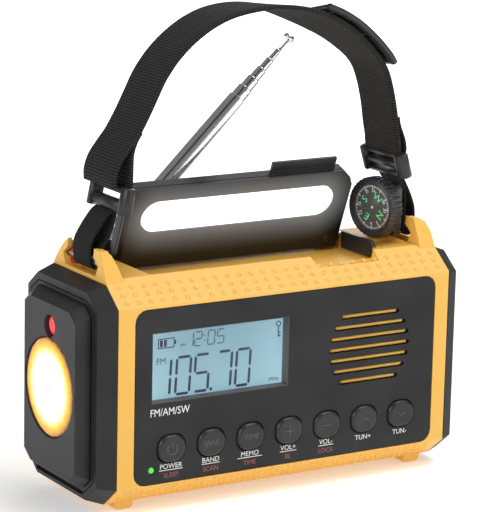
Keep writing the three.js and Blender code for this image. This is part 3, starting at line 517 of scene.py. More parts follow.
def rings_mesh(bm, rings, closed=True):
    """Skin through rings of equal length; the first end gets a face, and the last one if closed."""
    loops = [[bm.verts.new(p) for p in ring] for ring in rings]
    count = len(rings[0])
    for a, b in zip(loops, loops[1:]):
        for k in range(count):
            n = (k + 1) % count
            bm.faces.new((a[k], a[n], b[n], b[k]))
    bm.faces.new(list(reversed(loops[0])))
    if closed:
        bm.faces.new(loops[-1])
    return loops


def circle(centre, side, other, radius, sides):
    """Points of a circle in the plane of two unit vectors."""
    angles = (2 * pi * k / sides for k in range(sides))
    return [centre + (side * cos(t) + other * sin(t)) * radius * MM for t in angles]


def rounded(cx, cz, w, h, r, steps=6):
    """Outline of a rectangle with round corners."""
    points = []
    for corner in range(4):
        sx = 1 if corner in (0, 3) else -1
        sz = 1 if corner < 2 else -1
        for k in range(steps + 1):
            t = radians(90 * corner + 90 * k / steps)
            points.append((cx + sx * (w / 2 - r) + r * cos(t), cz + sz * (h / 2 - r) + r * sin(t)))
    return points


def prism(bm, outline, y0, y1):
    """Prism of an (x, z) outline between two depths."""
    rings_mesh(bm, [[at(x, y, z) for x, z in outline] for y in (y0, y1)])


def dome(bm, centre, normal, radius, height, sides=10, sink=0.3):
    """A low round pimple whose foot is sunk a little into the surface."""
    normal = normal.normalized()
    side = normal.orthogonal().normalized()
    other = normal.cross(side)
    rings = []
    for level in (-sink, 0.0, 0.45, 0.8):
        share = sqrt(max(0.0, 1 - max(0.0, level) ** 2))
        rings.append(circle(centre + normal * height * level * MM, side, other, radius * share, sides))
    last = rings_mesh(bm, rings, closed=False)[-1]
    tip = bm.verts.new(centre + normal * height * MM)
    for k in range(sides):
        bm.faces.new((last[k], last[(k + 1) % sides], tip))


def turned(bm, profile, centre, axis, sides=48):
    """Solid of revolution of (radius, distance along the axis) pairs; a radius of 0 is a point."""
    axis = Vector(axis).normalized()
    side = axis.orthogonal().normalized()
    other = axis.cross(side)
    rings = []
    for radius, along in profile:
        middle = centre + axis * along * MM
        points = circle(middle, side, other, radius, sides) if radius else [middle]
        rings.append([bm.verts.new(point) for point in points])
    for a, b in zip(rings, rings[1:]):
        for k in range(sides):
            n = (k + 1) % sides
            if len(a) == 1:
                bm.faces.new((a[0], b[n], b[k]))
            elif len(b) == 1:
                bm.faces.new((a[k], a[n], b[0]))
            else:
                bm.faces.new((a[k], a[n], b[n], b[k]))


def lathe(name, profile, centre, axis, sides, *settings, **more):
    """Places a piece that is turned from a profile."""
    drawn(name, lambda bm: turned(bm, profile, centre, axis, sides), *settings, **more)


def tube(bm, points, radius, sides=8):
    """Thin round bar through a row of points."""
    rings = []
    for k, point in enumerate(points):
        ahead = points[min(k + 1, len(points) - 1)] - points[max(k - 1, 0)]
        side = ahead.orthogonal().normalized()
        other = ahead.normalized().cross(side)
        rings.append(circle(point, side, other, radius, sides))
    rings_mesh(bm, rings)


def lettering(text, size):
    """Flat letters as a thin solid mesh in the XY plane, centred on the origin."""
    curve = bpy.data.curves.new("letters", "FONT")
    curve.body = text
    curve.size = size * MM
    curve.align_x = "CENTER"
    curve.align_y = "CENTER"
    curve.extrude = 0.02 * MM
    curve.resolution_u = 3
    holder = bpy.data.objects.new("letters", curve)
    link(holder)
    bpy.context.view_layer.update()
    graph = bpy.context.evaluated_depsgraph_get()
    mesh = bpy.data.meshes.new_from_object(holder.evaluated_get(graph))
    bpy.data.objects.remove(holder)
    bpy.data.curves.remove(curve)
    return mesh


def printed(name, text, x, y, z, size, material, body="housing", slot="panel_plastic", width=1.0):
    """Letters standing upright at a depth y, squeezed sideways by width."""
    mesh = lettering(text, size)
    upright = Matrix.Rotation(radians(90), 4, "X")
    mesh.transform(Matrix.Translation(at(x, y, z)) @ upright @ Matrix.Diagonal((width, 1, 1, 1)))
    place_piece(name, mesh, material, body, slot, smooth=False)


# ---- housing
REAR = 60.1  # a depth y on the front half is REAR - y on the rear half
TOP_SLOPE, TOP_EDGE, TOP_NORMAL = 7.45 / 9.65, 78.5, (0.61, 0.79)
LOW_SLOPE, LOW_EDGE, LOW_NORMAL = 7.9 / 9.65, 10.9, (0.63, -0.77)
TOP_ROWS = (1.95, 4.95, 7.9)  # depths of the rows of dots
LOW_ROWS = (1.6, 3.8, 6.0, 8.2)
DOT_COLUMNS = 27
DOT_START, DOT_PITCH = -68.5, 137.0 / DOT_COLUMNS


def build_housing():
    refined("front_shell", YELLOW, "yellow_shell", 0.35)
    refined("rear_shell", YELLOW, "yellow_shell", 0.35)
    refined("battery_door", YELLOW, "yellow_shell", 0.3)
    refined("left_end_cap", CAP_BLACK, "black_plastic", 0.25)
    refined("right_end_cap", CAP_BLACK, "black_plastic", 0.3)
    refined("torch_cover", PAD_GREY, "grey_plastic", 0.45, 3)
    refined("port_cover", RUBBER, "rubber", 0.2)
    refined("front_panel", PANEL_GREY, "panel_plastic", 0.18)
    refined("lamp_side_rail", BLACK, "black_plastic", 0.25)
    refined("antenna_base", BLACK, "black_plastic", 0.25)


def build_dots():
    """Raised dots on the sloping edges: along the top, and closer together along the bottom."""

    def dot(bm, front, x, y, z, normal, *shape):
        outward = Vector((0, -normal[0] if front else normal[0], normal[1]))
        dome(bm, at(x, y if front else REAR - y, z), outward, *shape)

    def top(bm, front, rows, *shape):
        for y in rows:
            for k in range(DOT_COLUMNS + 1):
                dot(bm, front, DOT_START + DOT_PITCH * k, y, TOP_EDGE + y * TOP_SLOPE, TOP_NORMAL, *shape)

    def low(bm):
        for front, (row, y) in product((True, False), enumerate(LOW_ROWS)):
            for k in range(DOT_COLUMNS * 2):
                x = DOT_START + DOT_PITCH * (k + 0.5 * (row % 2)) / 2
                dot(bm, front, x, y, LOW_EDGE - y * LOW_SLOPE, LOW_NORMAL, 0.95, 0.42, 8)

    for name, build in (
        ("dots_front", lambda bm: top(bm, True, TOP_ROWS, 1.0, 0.55)),
        ("dots_rear", lambda bm: top(bm, False, TOP_ROWS[:2], 0.85, 0.42)),
        ("dots_low", low),
    ):
        drawn(name, build, YELLOW, slot="yellow_shell")


# ---- torch end
def build_torch():
    rim = TORCH_RADIUS
    glass = [(0, 0.05), (6, 0.07), (12, 0.12), (16, 0.2), (18.1, 0.34), (rim, 0.6), (rim, 1.7), (0, 1.7)]
    signal = [(0, 0), (2.0, 0.15), (3.2, 0.55), (3.8, 1.2), (3.8, 2.2), (0, 2.2)]
    for name, profile, place, sides, material, slot, node in (
        ("torch_glass", glass, TORCH_MIDDLE, 64, TORCH_GLOW, "clear_plastic", "torch_lens"),
        ("signal_glass", signal, at(-85.7, 26.9, 68.5), 32, RED_LENS, "red_lens", "signal_lens"),
    ):
        lathe(name, profile, place, (1, 0, 0), sides, material, "housing", slot, [node])
    paint("torch_reflector", CHROME)
    paint("torch_led_board", NATURAL)


# ---- front panel
# Bars that are dark in each digit: top, upper right, lower right, bottom, lower left, upper left, middle.
DARK_BARS = {"0": "1111110", "1": "0110000", "2": "1101101", "5": "1011011"}
# Width, height, bar thickness and slant per unit of height of the two kinds of digit.
FREQUENCY_STYLE = (5.9, 13.9, 1.05, 0.055)
CLOCK_STYLE = (2.9, 5.3, 0.42, 0.07)
FREQUENCY_Z, CLOCK_Z = 43.0, 60.4
MARK_FRONT, MARK_BACK = 4.4, 4.48  # depths of the display's marks


def box_outline(x0, z0, x1, z1):
    return [(x0, z0), (x1, z0), (x1, z1), (x0, z1)]


def mark(bm, outline):
    prism(bm, outline, MARK_FRONT, MARK_BACK)


def seven_segment(bm, digit, x, z, style):
    """One digit; x and z are its lower left corner."""
    w, h, thick, slant = style
    gap = thick * 0.28
    mid = h / 2

    def bar(x0, z0, x1, z1):
        along = Vector((x1 - x0, z1 - z0)).normalized()
        side = Vector((-along.y, along.x)) * thick / 2
        point = along * thick / 2
        a, b = Vector((x0, z0)) + along * gap, Vector((x1, z1)) - along * gap
        corners = [a, a + point + side, b - point + side, b, b - point - side, a + point - side]
        mark(bm, [(x + p.x + p.y * slant, z + p.y) for p in corners])

    bars = [(0, h, w, h), (w, mid, w, h), (w, 0, w, mid), (0, 0, w, 0)]
    bars += [(0, 0, 0, mid), (0, mid, 0, h), (0, mid, w, mid)]
    for dark, ends in zip(DARK_BARS[digit], bars):
        if dark == "1":
            bar(*ends)


def frame_bars(bm, x0, z0, x1, z1, thick, y0, y1):
    """Outline of a box drawn with four thin bars."""
    for outline in (
        box_outline(x0, z0, x1, z0 + thick),
        box_outline(x0, z1 - thick, x1, z1),
        box_outline(x0, z0 + thick, x0 + thick, z1 - thick),
        box_outline(x1 - thick, z0 + thick, x1, z1 - thick),
    ):
        prism(bm, outline, y0, y1)


def build_display():
    """The reading: a clock, a frequency, a battery, a key lock and units, all generic."""
    paint("lcd_window", CLEAR)
    refined("lcd_module", DISPLAY, "display", 0.2)

    def liner(bm):
        frame_bars(bm, -58.6, 41.7, 0.2, 68.4, 0.26, 0.15, 4.45)

    def frequency(bm):
        width, _, thick, _ = FREQUENCY_STYLE
        for digit, x in (("0", -46.3), ("5", -38.4), ("0", -20.6)):
            seven_segment(bm, digit, x, FREQUENCY_Z, FREQUENCY_STYLE)
        for right in (-48.9, -22.9):  # a one, and the seven's upright, each at its right-hand edge
            seven_segment(bm, "1", right - width + 0.1, FREQUENCY_Z, FREQUENCY_STYLE)
        mark(bm, rounded(-25.2, FREQUENCY_Z + 14.0, 4.4, thick, 0.3, 2))
        mark(bm, rounded(-31.0, FREQUENCY_Z + 0.2, 1.15, 1.15, 0.3, 2))

    def clock(bm):
        for digit, x in (("1", -42.0), ("2", -38.4), ("0", -32.8), ("5", -28.8)):
            seven_segment(bm, digit, x, CLOCK_Z, CLOCK_STYLE)
        for z in (62.0, 64.1):
            mark(bm, rounded(-34.1, z, 0.5, 0.5, 0.15, 2))

    def symbols(bm):
        frame_bars(bm, -53.8, 61.0, -46.9, 64.8, 0.35, MARK_FRONT, MARK_BACK)
        mark(bm, box_outline(-46.8, 62.2, -46.2, 63.7))
        for x in (-53.0, -51.3):
            mark(bm, box_outline(x, 61.6, x + 1.2, 64.2))
        tube(bm, arc(-2.0, 64.9, 0.95, 0, 360, MARK_FRONT + 0.05, 16), 0.2, 6)
        mark(bm, box_outline(-2.2, 59.8, -1.8, 63.9))
        for z in (60.1, 61.3):
            mark(bm, box_outline(-1.8, z, -1.0, z + 0.45))

    for name, build, material, slot in (
        ("display_surround", liner, SURROUND, "panel_plastic"),
        ("display_frequency", frequency, SEGMENTS, "display"),
        ("display_clock", clock, SEGMENTS_PALE, "display"),
        ("display_symbols", symbols, SEGMENTS, "display"),
    ):
        drawn(name, build, material, slot=slot, smooth=False)
    for name, text, x, z, size in (
        ("display_fm", "FM", -52.4, 56.2, 3.4),
        ("display_pm", "PM", -43.2, 61.3, 1.7),
        ("display_mhz", "MHz", -3.6, 43.6, 2.4),
    ):
        printed(name, text, x, MARK_FRONT, z, size, SEGMENTS_PALE, slot="display")


PRINT_Y = -0.03  # lettering on the panel stands this far out of it
KEY_PITCH, KEY_FIRST, KEY_Z = 17.0, -50.1, 24.1
# Key, name printed under it, its second name in red, and half the length of the line between them.
KEYS = (
    ("power", "POWER", "SLEEP", 5.0),
    ("band", "BAND", "SCAN", 3.9),
    ("memo_time", "MEMO", "TIME", 5.4),
    ("volume_up", "VOL+", "BL", 3.7),
    ("volume_down", "VOL-", "LOCK", 3.4),
    ("tune_up", "TUN+", "", 0),
    ("tune_down", "TUN-", "", 0),
)
CAP_WORDS = {"band": "BAND", "memo_time": "TIME"}


def key_mesh(x):
    """Key cap: a straight skirt, a round shoulder and a slightly dished top."""
    # Width, height, corner radius and depth of each level.
    levels = [(11.75, 10.55, 4.9, 4.9), (11.75, 10.55, 4.9, 0.2), (11.6, 10.4, 4.85, -0.35)]
    levels += [(11.2, 10.0, 4.7, -0.8), (10.5, 9.3, 4.4, -1.14), (9.6, 8.4, 4.0, -1.32)]
    levels += [(8.6, 7.4, 3.5, -1.34), (7.2, 6.0, 2.8, -1.24), (4.2, 3.4, 1.6, -1.14)]
    levels += [(1.6, 1.2, 0.55, -1.11)]
    rings = [[at(a, y, b) for a, b in rounded(x, KEY_Z, w, h, r, 8)] for w, h, r, y in levels]
    return mesh_from("key", lambda bm: rings_mesh(bm, rings))


def arc(x, z, r, start, end, y, steps=14):
    angles = (radians(start + (end - start) * k / steps) for k in range(steps + 1))
    return [at(x + r * cos(t), y, z + r * sin(t)) for t in angles]


def key_icon(name, x):
    """Sign on a key cap: power, plus, minus, or an arrowhead up or down."""
    y = -1.16

    def line(*points):
        return [at(x + across, y, KEY_Z + up) for across, up in points]

    rise = 0.65 if name == "tune_up" else -0.65
    level = line((-2.3, 0), (2.3, 0))
    strokes = {
        "power": [arc(x, KEY_Z, 2.1, 125, 415, y), line((0, 0.2), (0, 2.7))],
        "volume_up": [level, line((0, -2.3), (0, 2.3))],
        "volume_down": [level],
    }
    arrowhead = [line((-1.5, -rise), (0, rise)), line((0, rise), (1.5, -rise))]

    def build(bm):
        for points in strokes.get(name, arrowhead):
            tube(bm, points, 0.22)

    return mesh_from("icon", build)


def build_keys():
    for k, (name, label, second, half_line) in enumerate(KEYS):
        x = KEY_FIRST + KEY_PITCH * k
        body = "key_" + name
        place_piece("key_cap_" + name, key_mesh(x), KEY_BLACK, body, "black_plastic", ["button_" + name])
        if name in CAP_WORDS:
            printed("key_mark_" + name, CAP_WORDS[name], x, -1.2, KEY_Z, 3.1, ICON, body, "black_plastic")
        else:
            place_piece("key_mark_" + name, key_icon(name, x), ICON, body, "black_plastic")
        label_z = 17.3 if second else 16.8
        printed("label_" + name, label, x, PRINT_Y, label_z, 2.75, PRINT_WHITE)
        if second:
            printed("second_" + name, second, x, PRINT_Y, 13.85, 2.6, PRINT_RED)
            outline = rounded(x, 15.95, 2 * half_line, 0.26, 0.1, 2)
            line = mesh_from("line", lambda bm: prism(bm, outline, -0.05, -0.01))
            place_piece("underline_" + name, line, PRINT_WHITE, slot="panel_plastic", smooth=False)


def build_panel_details():
    printed("band_list", "FM/AM/SW", -50.9, PRINT_Y, 38.2, 4.1, PRINT_WHITE, width=0.86)
    led = [(0, -0.35), (0.6, -0.3), (1.0, -0.1), (1.2, 0.25), (1.2, 4), (0, 4)]
    place = at(-58.3, 0, 16.6)
    lathe("power_light", led, place, (0, 1, 0), 24, GREEN_LED, "housing", "green_lens", ["power_led_lens"])


# Loudspeaker slots: how many there are, their pitch, and the circle that they fill.
SLOTS, SLOT_PITCH = 7, 4.26
SPEAKER_X, SPEAKER_Z, SPEAKER_RADIUS = 36.5, 52.5, 18.5


def build_grille():
    """Ridge of the yellow shell that stands up in each slot of the panel, above its sound opening."""
    for k in range(SLOTS):
        level = (k - (SLOTS - 1) / 2) * SLOT_PITCH
        length = 2 * sqrt(SPEAKER_RADIUS**2 - level**2) - 2.2
        outline = rounded(SPEAKER_X, SPEAKER_Z + level + 0.2, length, 1.15, 0.5, 6)
        mesh = mesh_from("ridge", lambda bm: prism(bm, outline, 0.62, 1.4))
        place_piece("grille_ridge_%d" % (k + 1), mesh, YELLOW, slot="yellow_shell")


# ---- insides and rear
def build_insides():
    for node in ("main_board", "socket_board", "lamp_led_board"):
        paint(node, BOARD)
    for node in ("keypad_mat", "speaker_cone"):
        paint(node, RUBBER)
    for node in ("crank_gear", "generator_pinion"):
        paint(node, NATURAL)
    for node in ("speaker_basket", "generator", "strap_bar_left", "strap_bar_right", "lamp_hinge_rod"):
        paint(node, STEEL)
    paint("battery_cell", CELL_WRAP)
    refined("crank_arm", BLACK, "black_plastic", 0.4, 3)
    refined("grip_post", STEEL, "steel", 0.15)


def build_grip():
    """Waisted crank grip with seven rings, on its spindle; it is thinnest at the middle ring."""
    profile = [(1.9, 4.0), (3.2, 4.0), (3.75, 4.5), (3.9, 5.3)]
    for k in range(7):
        a = 6.4 + 2 * k
        waist = 3.62 + 0.2 * abs(k - 3) / 3
        profile += [(waist, a), (waist - 0.18, a + 0.5), (waist - 0.18, a + 0.9), (waist, a + 1.4)]
    profile += [(3.85, 20.6), (3.6, 21.3), (3.1, 21.75), (1.9, 21.8), (1.9, 4.0)]
    place = at(10.6, 54.6, 44.7)
    lathe("crank_grip", profile, place, (1, 0, 0), 40, BLACK, "grip", "black_plastic", ["grip_sleeve"])


# ---- lamp
def build_lamp():
    refined("lamp_case", LAMP_SHELL_PAINTED_GLOW, "panel_plastic", 0.6, 3, 40.0)
    refined("solar_frame", BLACK, "black_plastic", 0.35)
    refined("solar_cell", SOLAR, "solar_glass", 0.1)

    def opal(bm):
        rings = []
        for shrink, y in ((0, -2.9), (0, -3.75), (0.25, -3.92), (0.7, LAMP_FACE)):
            w, h = OPAL_WIDTH - 2 * shrink, OPAL_HEIGHT - 2 * shrink
            outline = rounded(OPAL_X, OPAL_Z, w, h, OPAL_HEIGHT / 2 - shrink - 0.02, 12)
            rings.append([on_lamp(a, y, b) for a, b in outline])
        rings_mesh(bm, rings)

    drawn("lamp_opal", opal, DIFFUSER, "lamp", "diffuser", ["lamp_diffuser"])
    for k, (x, z) in enumerate(((-2.8, 2.85), (41.9, 1.95))):
        screw("lamp_screw_%d" % (k + 1), on_lamp(x, LAMP_FACE, z), LEAN @ Vector((0, -1, 0)), 1.5, "lamp")


def screw(name, place, outward, radius, body):
    """Pan-head screw with a cross recess, sunk so that its head stands a little proud."""
    outward = outward.normalized()
    side = outward.orthogonal().normalized()
    other = outward.cross(side)

    def head(bm):
        profile = [(0, -1.2), (radius, -1.2), (radius, 0.02)]
        profile += [(radius * 0.85, 0.14), (radius * 0.5, 0.2), (0, 0.22)]
        turned(bm, profile, place, outward, 24)

    def cross(bm):
        corners = [(0.62, 0.12), (-0.62, 0.12), (-0.62, -0.12), (0.62, -0.12)]
        for first, second in ((side, other), (other, side)):
            flat = [place + (first * a * radius + second * b * radius) * MM for a, b in corners]
            rings_mesh(bm, [[p - outward * 0.2 * MM for p in flat], [p + outward * 0.26 * MM for p in flat]])

    drawn(name, head, BLACK, body, "steel")
    drawn(name + "_recess", cross, RUBBER, body, "steel", smooth=False)


# ---- antenna
TUBES = 7
TUBE_RADIUS, TUBE_STEP, TUBE_WALL = 3.5, 0.45, 0.27  # radius of the first, what each next one loses
TUBE_END, TUBE_OUT, TUBE_LENGTH = 79.1, 5.1, 69.5  # mouth of the first, and how far each next one shows


def build_antenna():
    """First tube from the CAD; the others turned, with a rolled lip at the mouth and a knob on the last."""
    tilt = radians(43.9)
    along = Vector((cos(tilt), 0, sin(tilt)))
    pivot = at(-49.8, 52.8, 87.6)
    refined("antenna_tube_1", ANTENNA_CHROME, "chrome", 0.12)
    for k in range(2, TUBES + 1):
        r = TUBE_RADIUS - TUBE_STEP * (k - 1)
        end = TUBE_END + TUBE_OUT * (k - 1)
        start = end - TUBE_LENGTH
        bore = r - TUBE_WALL
        if k < TUBES:
            profile = [
                (bore, start + 3.0), (bore, end - 0.5), (bore + 0.02, end - 0.1), (r - TUBE_WALL * 0.5, end),
                (r - 0.03, end - 0.12), (r, end - 0.5), (r, end - 1.1), (r - 0.06, end - 1.5), (r, end - 1.9),
                (r, start + 0.4), (r - 0.2, start), (bore, start), (bore, start + 3.0),
            ]
        else:
            profile = [
                (0, start), (r, start), (r, end + 0.2), (1.9, end + 0.2), (2.3, end + 0.5), (2.4, end + 1.2),
                (2.3, end + 2.0), (1.9, end + 2.45), (1.0, end + 2.6), (0, end + 2.6),
            ]
        name, body, node = (part % k for part in ("antenna_section_%d", "antenna_%d", "antenna_tube_%d"))
        lathe(name, profile, pivot, along, 40, ANTENNA_CHROME, body, "chrome", [node])


# ---- strap
def spline(points, count):
    """Catmull-Rom points through a path, evenly spaced, and the path's length."""
    fine = []
    ext = [points[0] * 2 - points[1], *points, points[-1] * 2 - points[-2]]
    for a, b, c, d in zip(ext, ext[1:], ext[2:], ext[3:]):
        for s in range(24):
            t = s / 24
            bend = (2 * a - 5 * b + 4 * c - d) * t * t
            fine.append(0.5 * (2 * b + (c - a) * t + bend + (3 * b - a - 3 * c + d) * t**3))
    fine.append(points[-1].copy())
    lengths = [0.0]
    for a, b in zip(fine, fine[1:]):
        lengths.append(lengths[-1] + (b - a).length)
    out, j = [], 0
    for k in range(count + 1):
        goal = lengths[-1] * k / count
        while j < len(fine) - 2 and lengths[j + 1] < goal:
            j += 1
        share = (goal - lengths[j]) / max(1e-9, lengths[j + 1] - lengths[j])
        out.append(fine[j].lerp(fine[j + 1], share))
    return out, lengths[-1]


def stations(path, steps, twist):
    """Points along an (x, z) path in the strap's middle, each with its across and outward directions."""
    points, length = spline([Vector((x, STRAP_MID, z)) for x, z in path], steps)
    rows = []
    for k, point in enumerate(points):
        ahead = (points[min(k + 1, steps)] - points[max(k - 1, 0)]).normalized()
        across = Matrix.Rotation(radians(twist(k / steps)), 3, ahead) @ Vector((0, 1, 0))
        rows.append((point, across, across.cross(ahead).normalized()))
    return rows, length


def band_mesh(name, path, width, thickness, steps, twist=lambda u: 0.0):
    """Flat woven band with rounded selvedges; its UV map is in metres along and across."""
    rows, length = stations(path, steps, twist)
    section = [(-0.5, 0.0), (-0.494, 0.3), (-0.47, 0.5)]
    section += [(s / 10, 0.5) for s in range(-4, 5)]
    section += [(0.47, 0.5), (0.494, 0.3), (0.5, 0.0)]
    section += [(a, -b) for a, b in reversed(section[1:-1])]

    def build(bm):
        uv = bm.loops.layers.uv.new("band")
        rings = []
        for point, across, out in rows:
            rings.append([at(*(point + across * a * width + out * (b * thickness))) for a, b in section])
        loops = [[bm.verts.new(p) for p in ring] for ring in rings]
        count = len(section)
        for k, (first, second) in enumerate(zip(loops, loops[1:])):
            for s in range(count):
                n = (s + 1) % count
                face = bm.faces.new((first[s], first[n], second[n], second[s]))
                for loop, (row, column) in zip(face.loops, ((k, s), (k, n), (k + 1, n), (k + 1, s))):
                    loop[uv].uv = (length * row / steps * MM, section[column][0] * width * MM)
        bm.faces.new(list(reversed(loops[0])))
        bm.faces.new(loops[-1])

    return mesh_from(name, build)


def swell(u, centre, spread):
    """A smooth hump of height 1."""
    return exp(-(((u - centre) / spread) ** 2))


# Routes of the strap, as (x, z) points.
WEBBING_PATH = [
    (-64.6, 119), (-64.8, 121.6), (-64.3, 124.6), (-62.8, 128.2), (-60, 132), (-56.4, 136.4), (-53.6, 140.8),
    (-51, 145.4), (-48, 151.2), (-45, 157), (-41.6, 161.9), (-38.4, 165.6), (-33.4, 170.2), (-27.4, 174.4),
    (-21.6, 177.4), (-15.6, 179.5), (-8.6, 180.8), (-1.2, 181.3), (5, 181), (13, 179.5), (21.6, 176.9),
    (29.3, 173.8), (37.7, 169.2), (44.8, 163.8), (50.2, 158.8), (53.2, 154.6), (54.9, 150.4), (56.4, 145.4),
    (57.9, 138.7), (58.9, 132.4), (60, 127), (60.4, 123.6), (60.9, 121.0),
]
TAIL_PATH = [
    (-59.2, 117.4), (-57.9, 120), (-57.8, 122.5), (-57.7, 127), (-57.5, 131), (-56.2, 135.2), (-54.0, 138.9),
]
FOLD_PATH = [(63.6, 120.4), (64.6, 123.4), (63.4, 128), (60.6, 133.4), (59.6, 136.6)]
SLIDER_PATH = [(25, 178.6), (32, 176), (39.4, 172), (46.6, 166.6), (52.4, 161.2), (55.4, 157.4)]
SLIDER_STEPS = 28
# Narrow straps, left (-1) and right (1): the bar they turn round, and their ways down and up.
BAR = (69.4, 91.4)
TURN_RADIUS = 2.5
TAB_OUT = {
    -1: [(62.6, 109.6), (64.5, 108.4), (66.6, 106), (69.2, 102.4), (71.2, 99), (71.9, 96)],
    1: [(64.4, 112.4), (66.1, 111.2), (69.2, 105.6), (71.3, 100.5), (71.9, 96.5)],
}
TAB_BACK = {
    -1: [(66.6, 96), (64.2, 100), (62.4, 104.4), (61.6, 107.4), (61.4, 109.4)],
    1: [(67.2, 97), (67.4, 102), (66.7, 107.6), (64.2, 111.2), (63.4, 112.6)],
}


def tab_path(end):
    """Narrow strap: down from its fitting, round the bar in the housing and up again."""
    turn = []
    for k in range(6):
        angle = radians(20 - 44 * k)
        turn.append((BAR[0] + TURN_RADIUS * cos(angle), BAR[1] + TURN_RADIUS * sin(angle)))
    return [(end * x, z) for x, z in TAB_OUT[end] + turn + TAB_BACK[end]]


def leaning(x, z, lean):
    """Maps a fitting's own (across, up) axes into the radio, leaning sideways by some degrees."""
    t = radians(lean)
    return lambda a, y, b: at(x + a * cos(t) + b * sin(t), y, z - a * sin(t) + b * cos(t))


FITTING_HALF = 14.5


def fitting(name, node, x, z, lean, width, height, bars):
    """Ladder fitting: a round post at each end, joined by bars that are (low, high, thickness)."""
    place = leaning(x, z, lean)
    post = width / 2
    low, high = -height / 2, height / 2
    levels = ((low, 0.82), (low + 0.18, 0.93), (low + 0.5, 1))
    levels += ((high - 0.5, 1), (high - 0.18, 0.93), (high, 0.82))

    def build_post(bm, side):
        centre = STRAP_MID + side * FITTING_HALF - side * post
        angles = [radians(180 * k / 16) for k in range(17)]
        outline = [(post * cos(t), centre + side * post * sin(t)) for t in angles]
        outline += [(-post, centre - side * 0.9), (post, centre - side * 0.9)]
        rings = []
        for b, share in levels:
            rings.append([place(a * share, centre + (y - centre) * share, b) for a, y in outline])
        rings_mesh(bm, rings)

    def build(bm):
        for side in (-1, 1):
            build_post(bm, side)
        reach = FITTING_HALF - post
        for bottom, top, thick in bars:
            corner = min(thick, top - bottom) / 2 - 0.05
            outline = rounded(0, (bottom + top) / 2, thick, top - bottom, corner, 5)
            rings_mesh(bm, [[place(a, STRAP_MID + y, b) for a, b in outline] for y in (-reach, reach)])

    drawn(name, build, BLACK, "housing", "black_plastic", [node])


def slider_twist(u):
    return -14 + 8 * u


def build_slider():
    """Bowed slider: two side rails joined by three cross bars, with the webbing between them."""
    rows, _ = stations(SLIDER_PATH, SLIDER_STEPS, slider_twist)
    half_width, rail = 13.0, 3.2
    rail_thick, bar_thick = 2.3, 2.0

    def strip(bm, first, last, low, high, thick):
        rings = []
        for point, across, out in rows[first : last + 1]:
            outline = rounded((low + high) / 2, 0, high - low, thick, min(0.9, thick / 2 - 0.05), 3)
            rings.append([at(*(point + across * a + out * b)) for a, b in outline])
        rings_mesh(bm, rings)

    def build(bm):
        strip(bm, 0, SLIDER_STEPS, -half_width, rail - half_width, rail_thick)
        strip(bm, 0, SLIDER_STEPS, half_width - rail, half_width, rail_thick)
        for first, last in ((0, 3), (12, 16), (25, SLIDER_STEPS)):
            strip(bm, first, last, 2.4 - half_width, half_width - 2.4, bar_thick)

    drawn("web_slider", build, BLACK, "housing", "black_plastic", ["strap_slider"])


def build_strap():
    """Webbing with its end, fold and threaded length, the narrow straps, and what joins them."""

    def webbing(name, *shape, nodes=()):
        place_piece(name, band_mesh(name, *shape), WEBBING, "housing", "webbing", nodes)

    webbing("webbing_band", WEBBING_PATH, 24, 1.8, 170, lambda u: -13 * swell(u, 0.65, 0.12), nodes=["webbing"])
    webbing("webbing_end", TAIL_PATH, 24, 1.4, 24, nodes=["webbing_tail"])
    webbing("webbing_fold", FOLD_PATH, 23, 1.4, 24, lambda u: -8 * (1 - u))
    for side, end in (("left", -1), ("right", 1)):
        mesh = band_mesh("tab", tab_path(end), 13, 1.1, 80)
        place_piece("narrow_band_" + side, mesh, NARROW, "housing", "narrow_strap", ["strap_tab_" + side])
    window = ((2.3, 5.0, 3.6), (-5.0, 0.2, 4.6))
    ladder = ((3.0, 4.7, 3.6), (-1.4, 1.4, 4.6), (-4.7, -3.0, 4.4))
    fitting("buckle_left", "left_buckle", -60.1, 113.9, 12, 5.4, 10.2, window)
    fitting("buckle_right", "strap_adapter_right", 61.9, 117.6, -16.6, 5.6, 9.6, ladder)
    webbing("webbing_threaded", SLIDER_PATH, 20.8, 1.1, 40, slider_twist)
    build_slider()


# ---- compass
COMPASS = Matrix.Translation(at(53.4, 27.4, 100.1)) @ Matrix.Rotation(radians(13.5), 4, "Z")
COMPASS_AXIS = COMPASS.to_3x3() @ Vector((1, 0, 0))  # from the dial into the case
NORTH = -33  # degrees from straight down to the N
DIAL = ("compass_dial", "compass_dial")  # body and slot of what turns with the dial


def on_compass(x, y, z):
    """A point of the compass's own axes, in the row frame."""
    return COMPASS @ (Vector((x, y, z)) * MM)


def compass_cup():
    """Case with its knurled rim: rows of radius, distance along the axis, and whether it is knurled."""
    sides, knurl = 144, 0.42
    rows = [(9.7, 2.6, 0), (9.7, 0.35, 0), (9.95, 0.0, 0), (11.1, 0.0, 0), (11.6, 0.5, 1), (11.95, 1.1, 1)]
    rows += [(11.95, 5.6, 1), (11.6, 6.2, 1), (10.8, 6.4, 0)]

    def point(radius, along, knurled, k):
        t = 2 * pi * k / sides
        r = radius - (knurl if knurled and k % 4 in (0, 1) else 0.0)
        return on_compass(along, r * cos(t), r * sin(t))

    rings = [[point(*row, k) for k in range(sides)] for row in rows]
    return mesh_from("cup", lambda bm: rings_mesh(bm, rings))


def compass_holder():
    outline = rounded(0, -1, 15.6, 20, 1.6, 5)
    rings = [[on_compass(x, a, b) for a, b in outline] for x in (6.2, 10.0)]
    return mesh_from("holder", lambda bm: rings_mesh(bm, rings))


def compass_ticks():
    """Seventy-two strokes, every sixth one longer and wider."""

    def build(bm):
        for k in range(72):
            t = 2 * pi * k / 72
            inner, half = (7.9, 0.1) if k % 6 else (7.3, 0.17)
            d, n = Vector((0, cos(t), sin(t))), Vector((0, -sin(t), cos(t)))
            quad = [d * inner + n * half, d * 8.7 + n * half, d * 8.7 - n * half, d * inner - n * half]
            rings_mesh(bm, [[on_compass(x, p.y, p.z) for p in quad] for x in (1.24, 1.34)])

    return mesh_from("ticks", build)


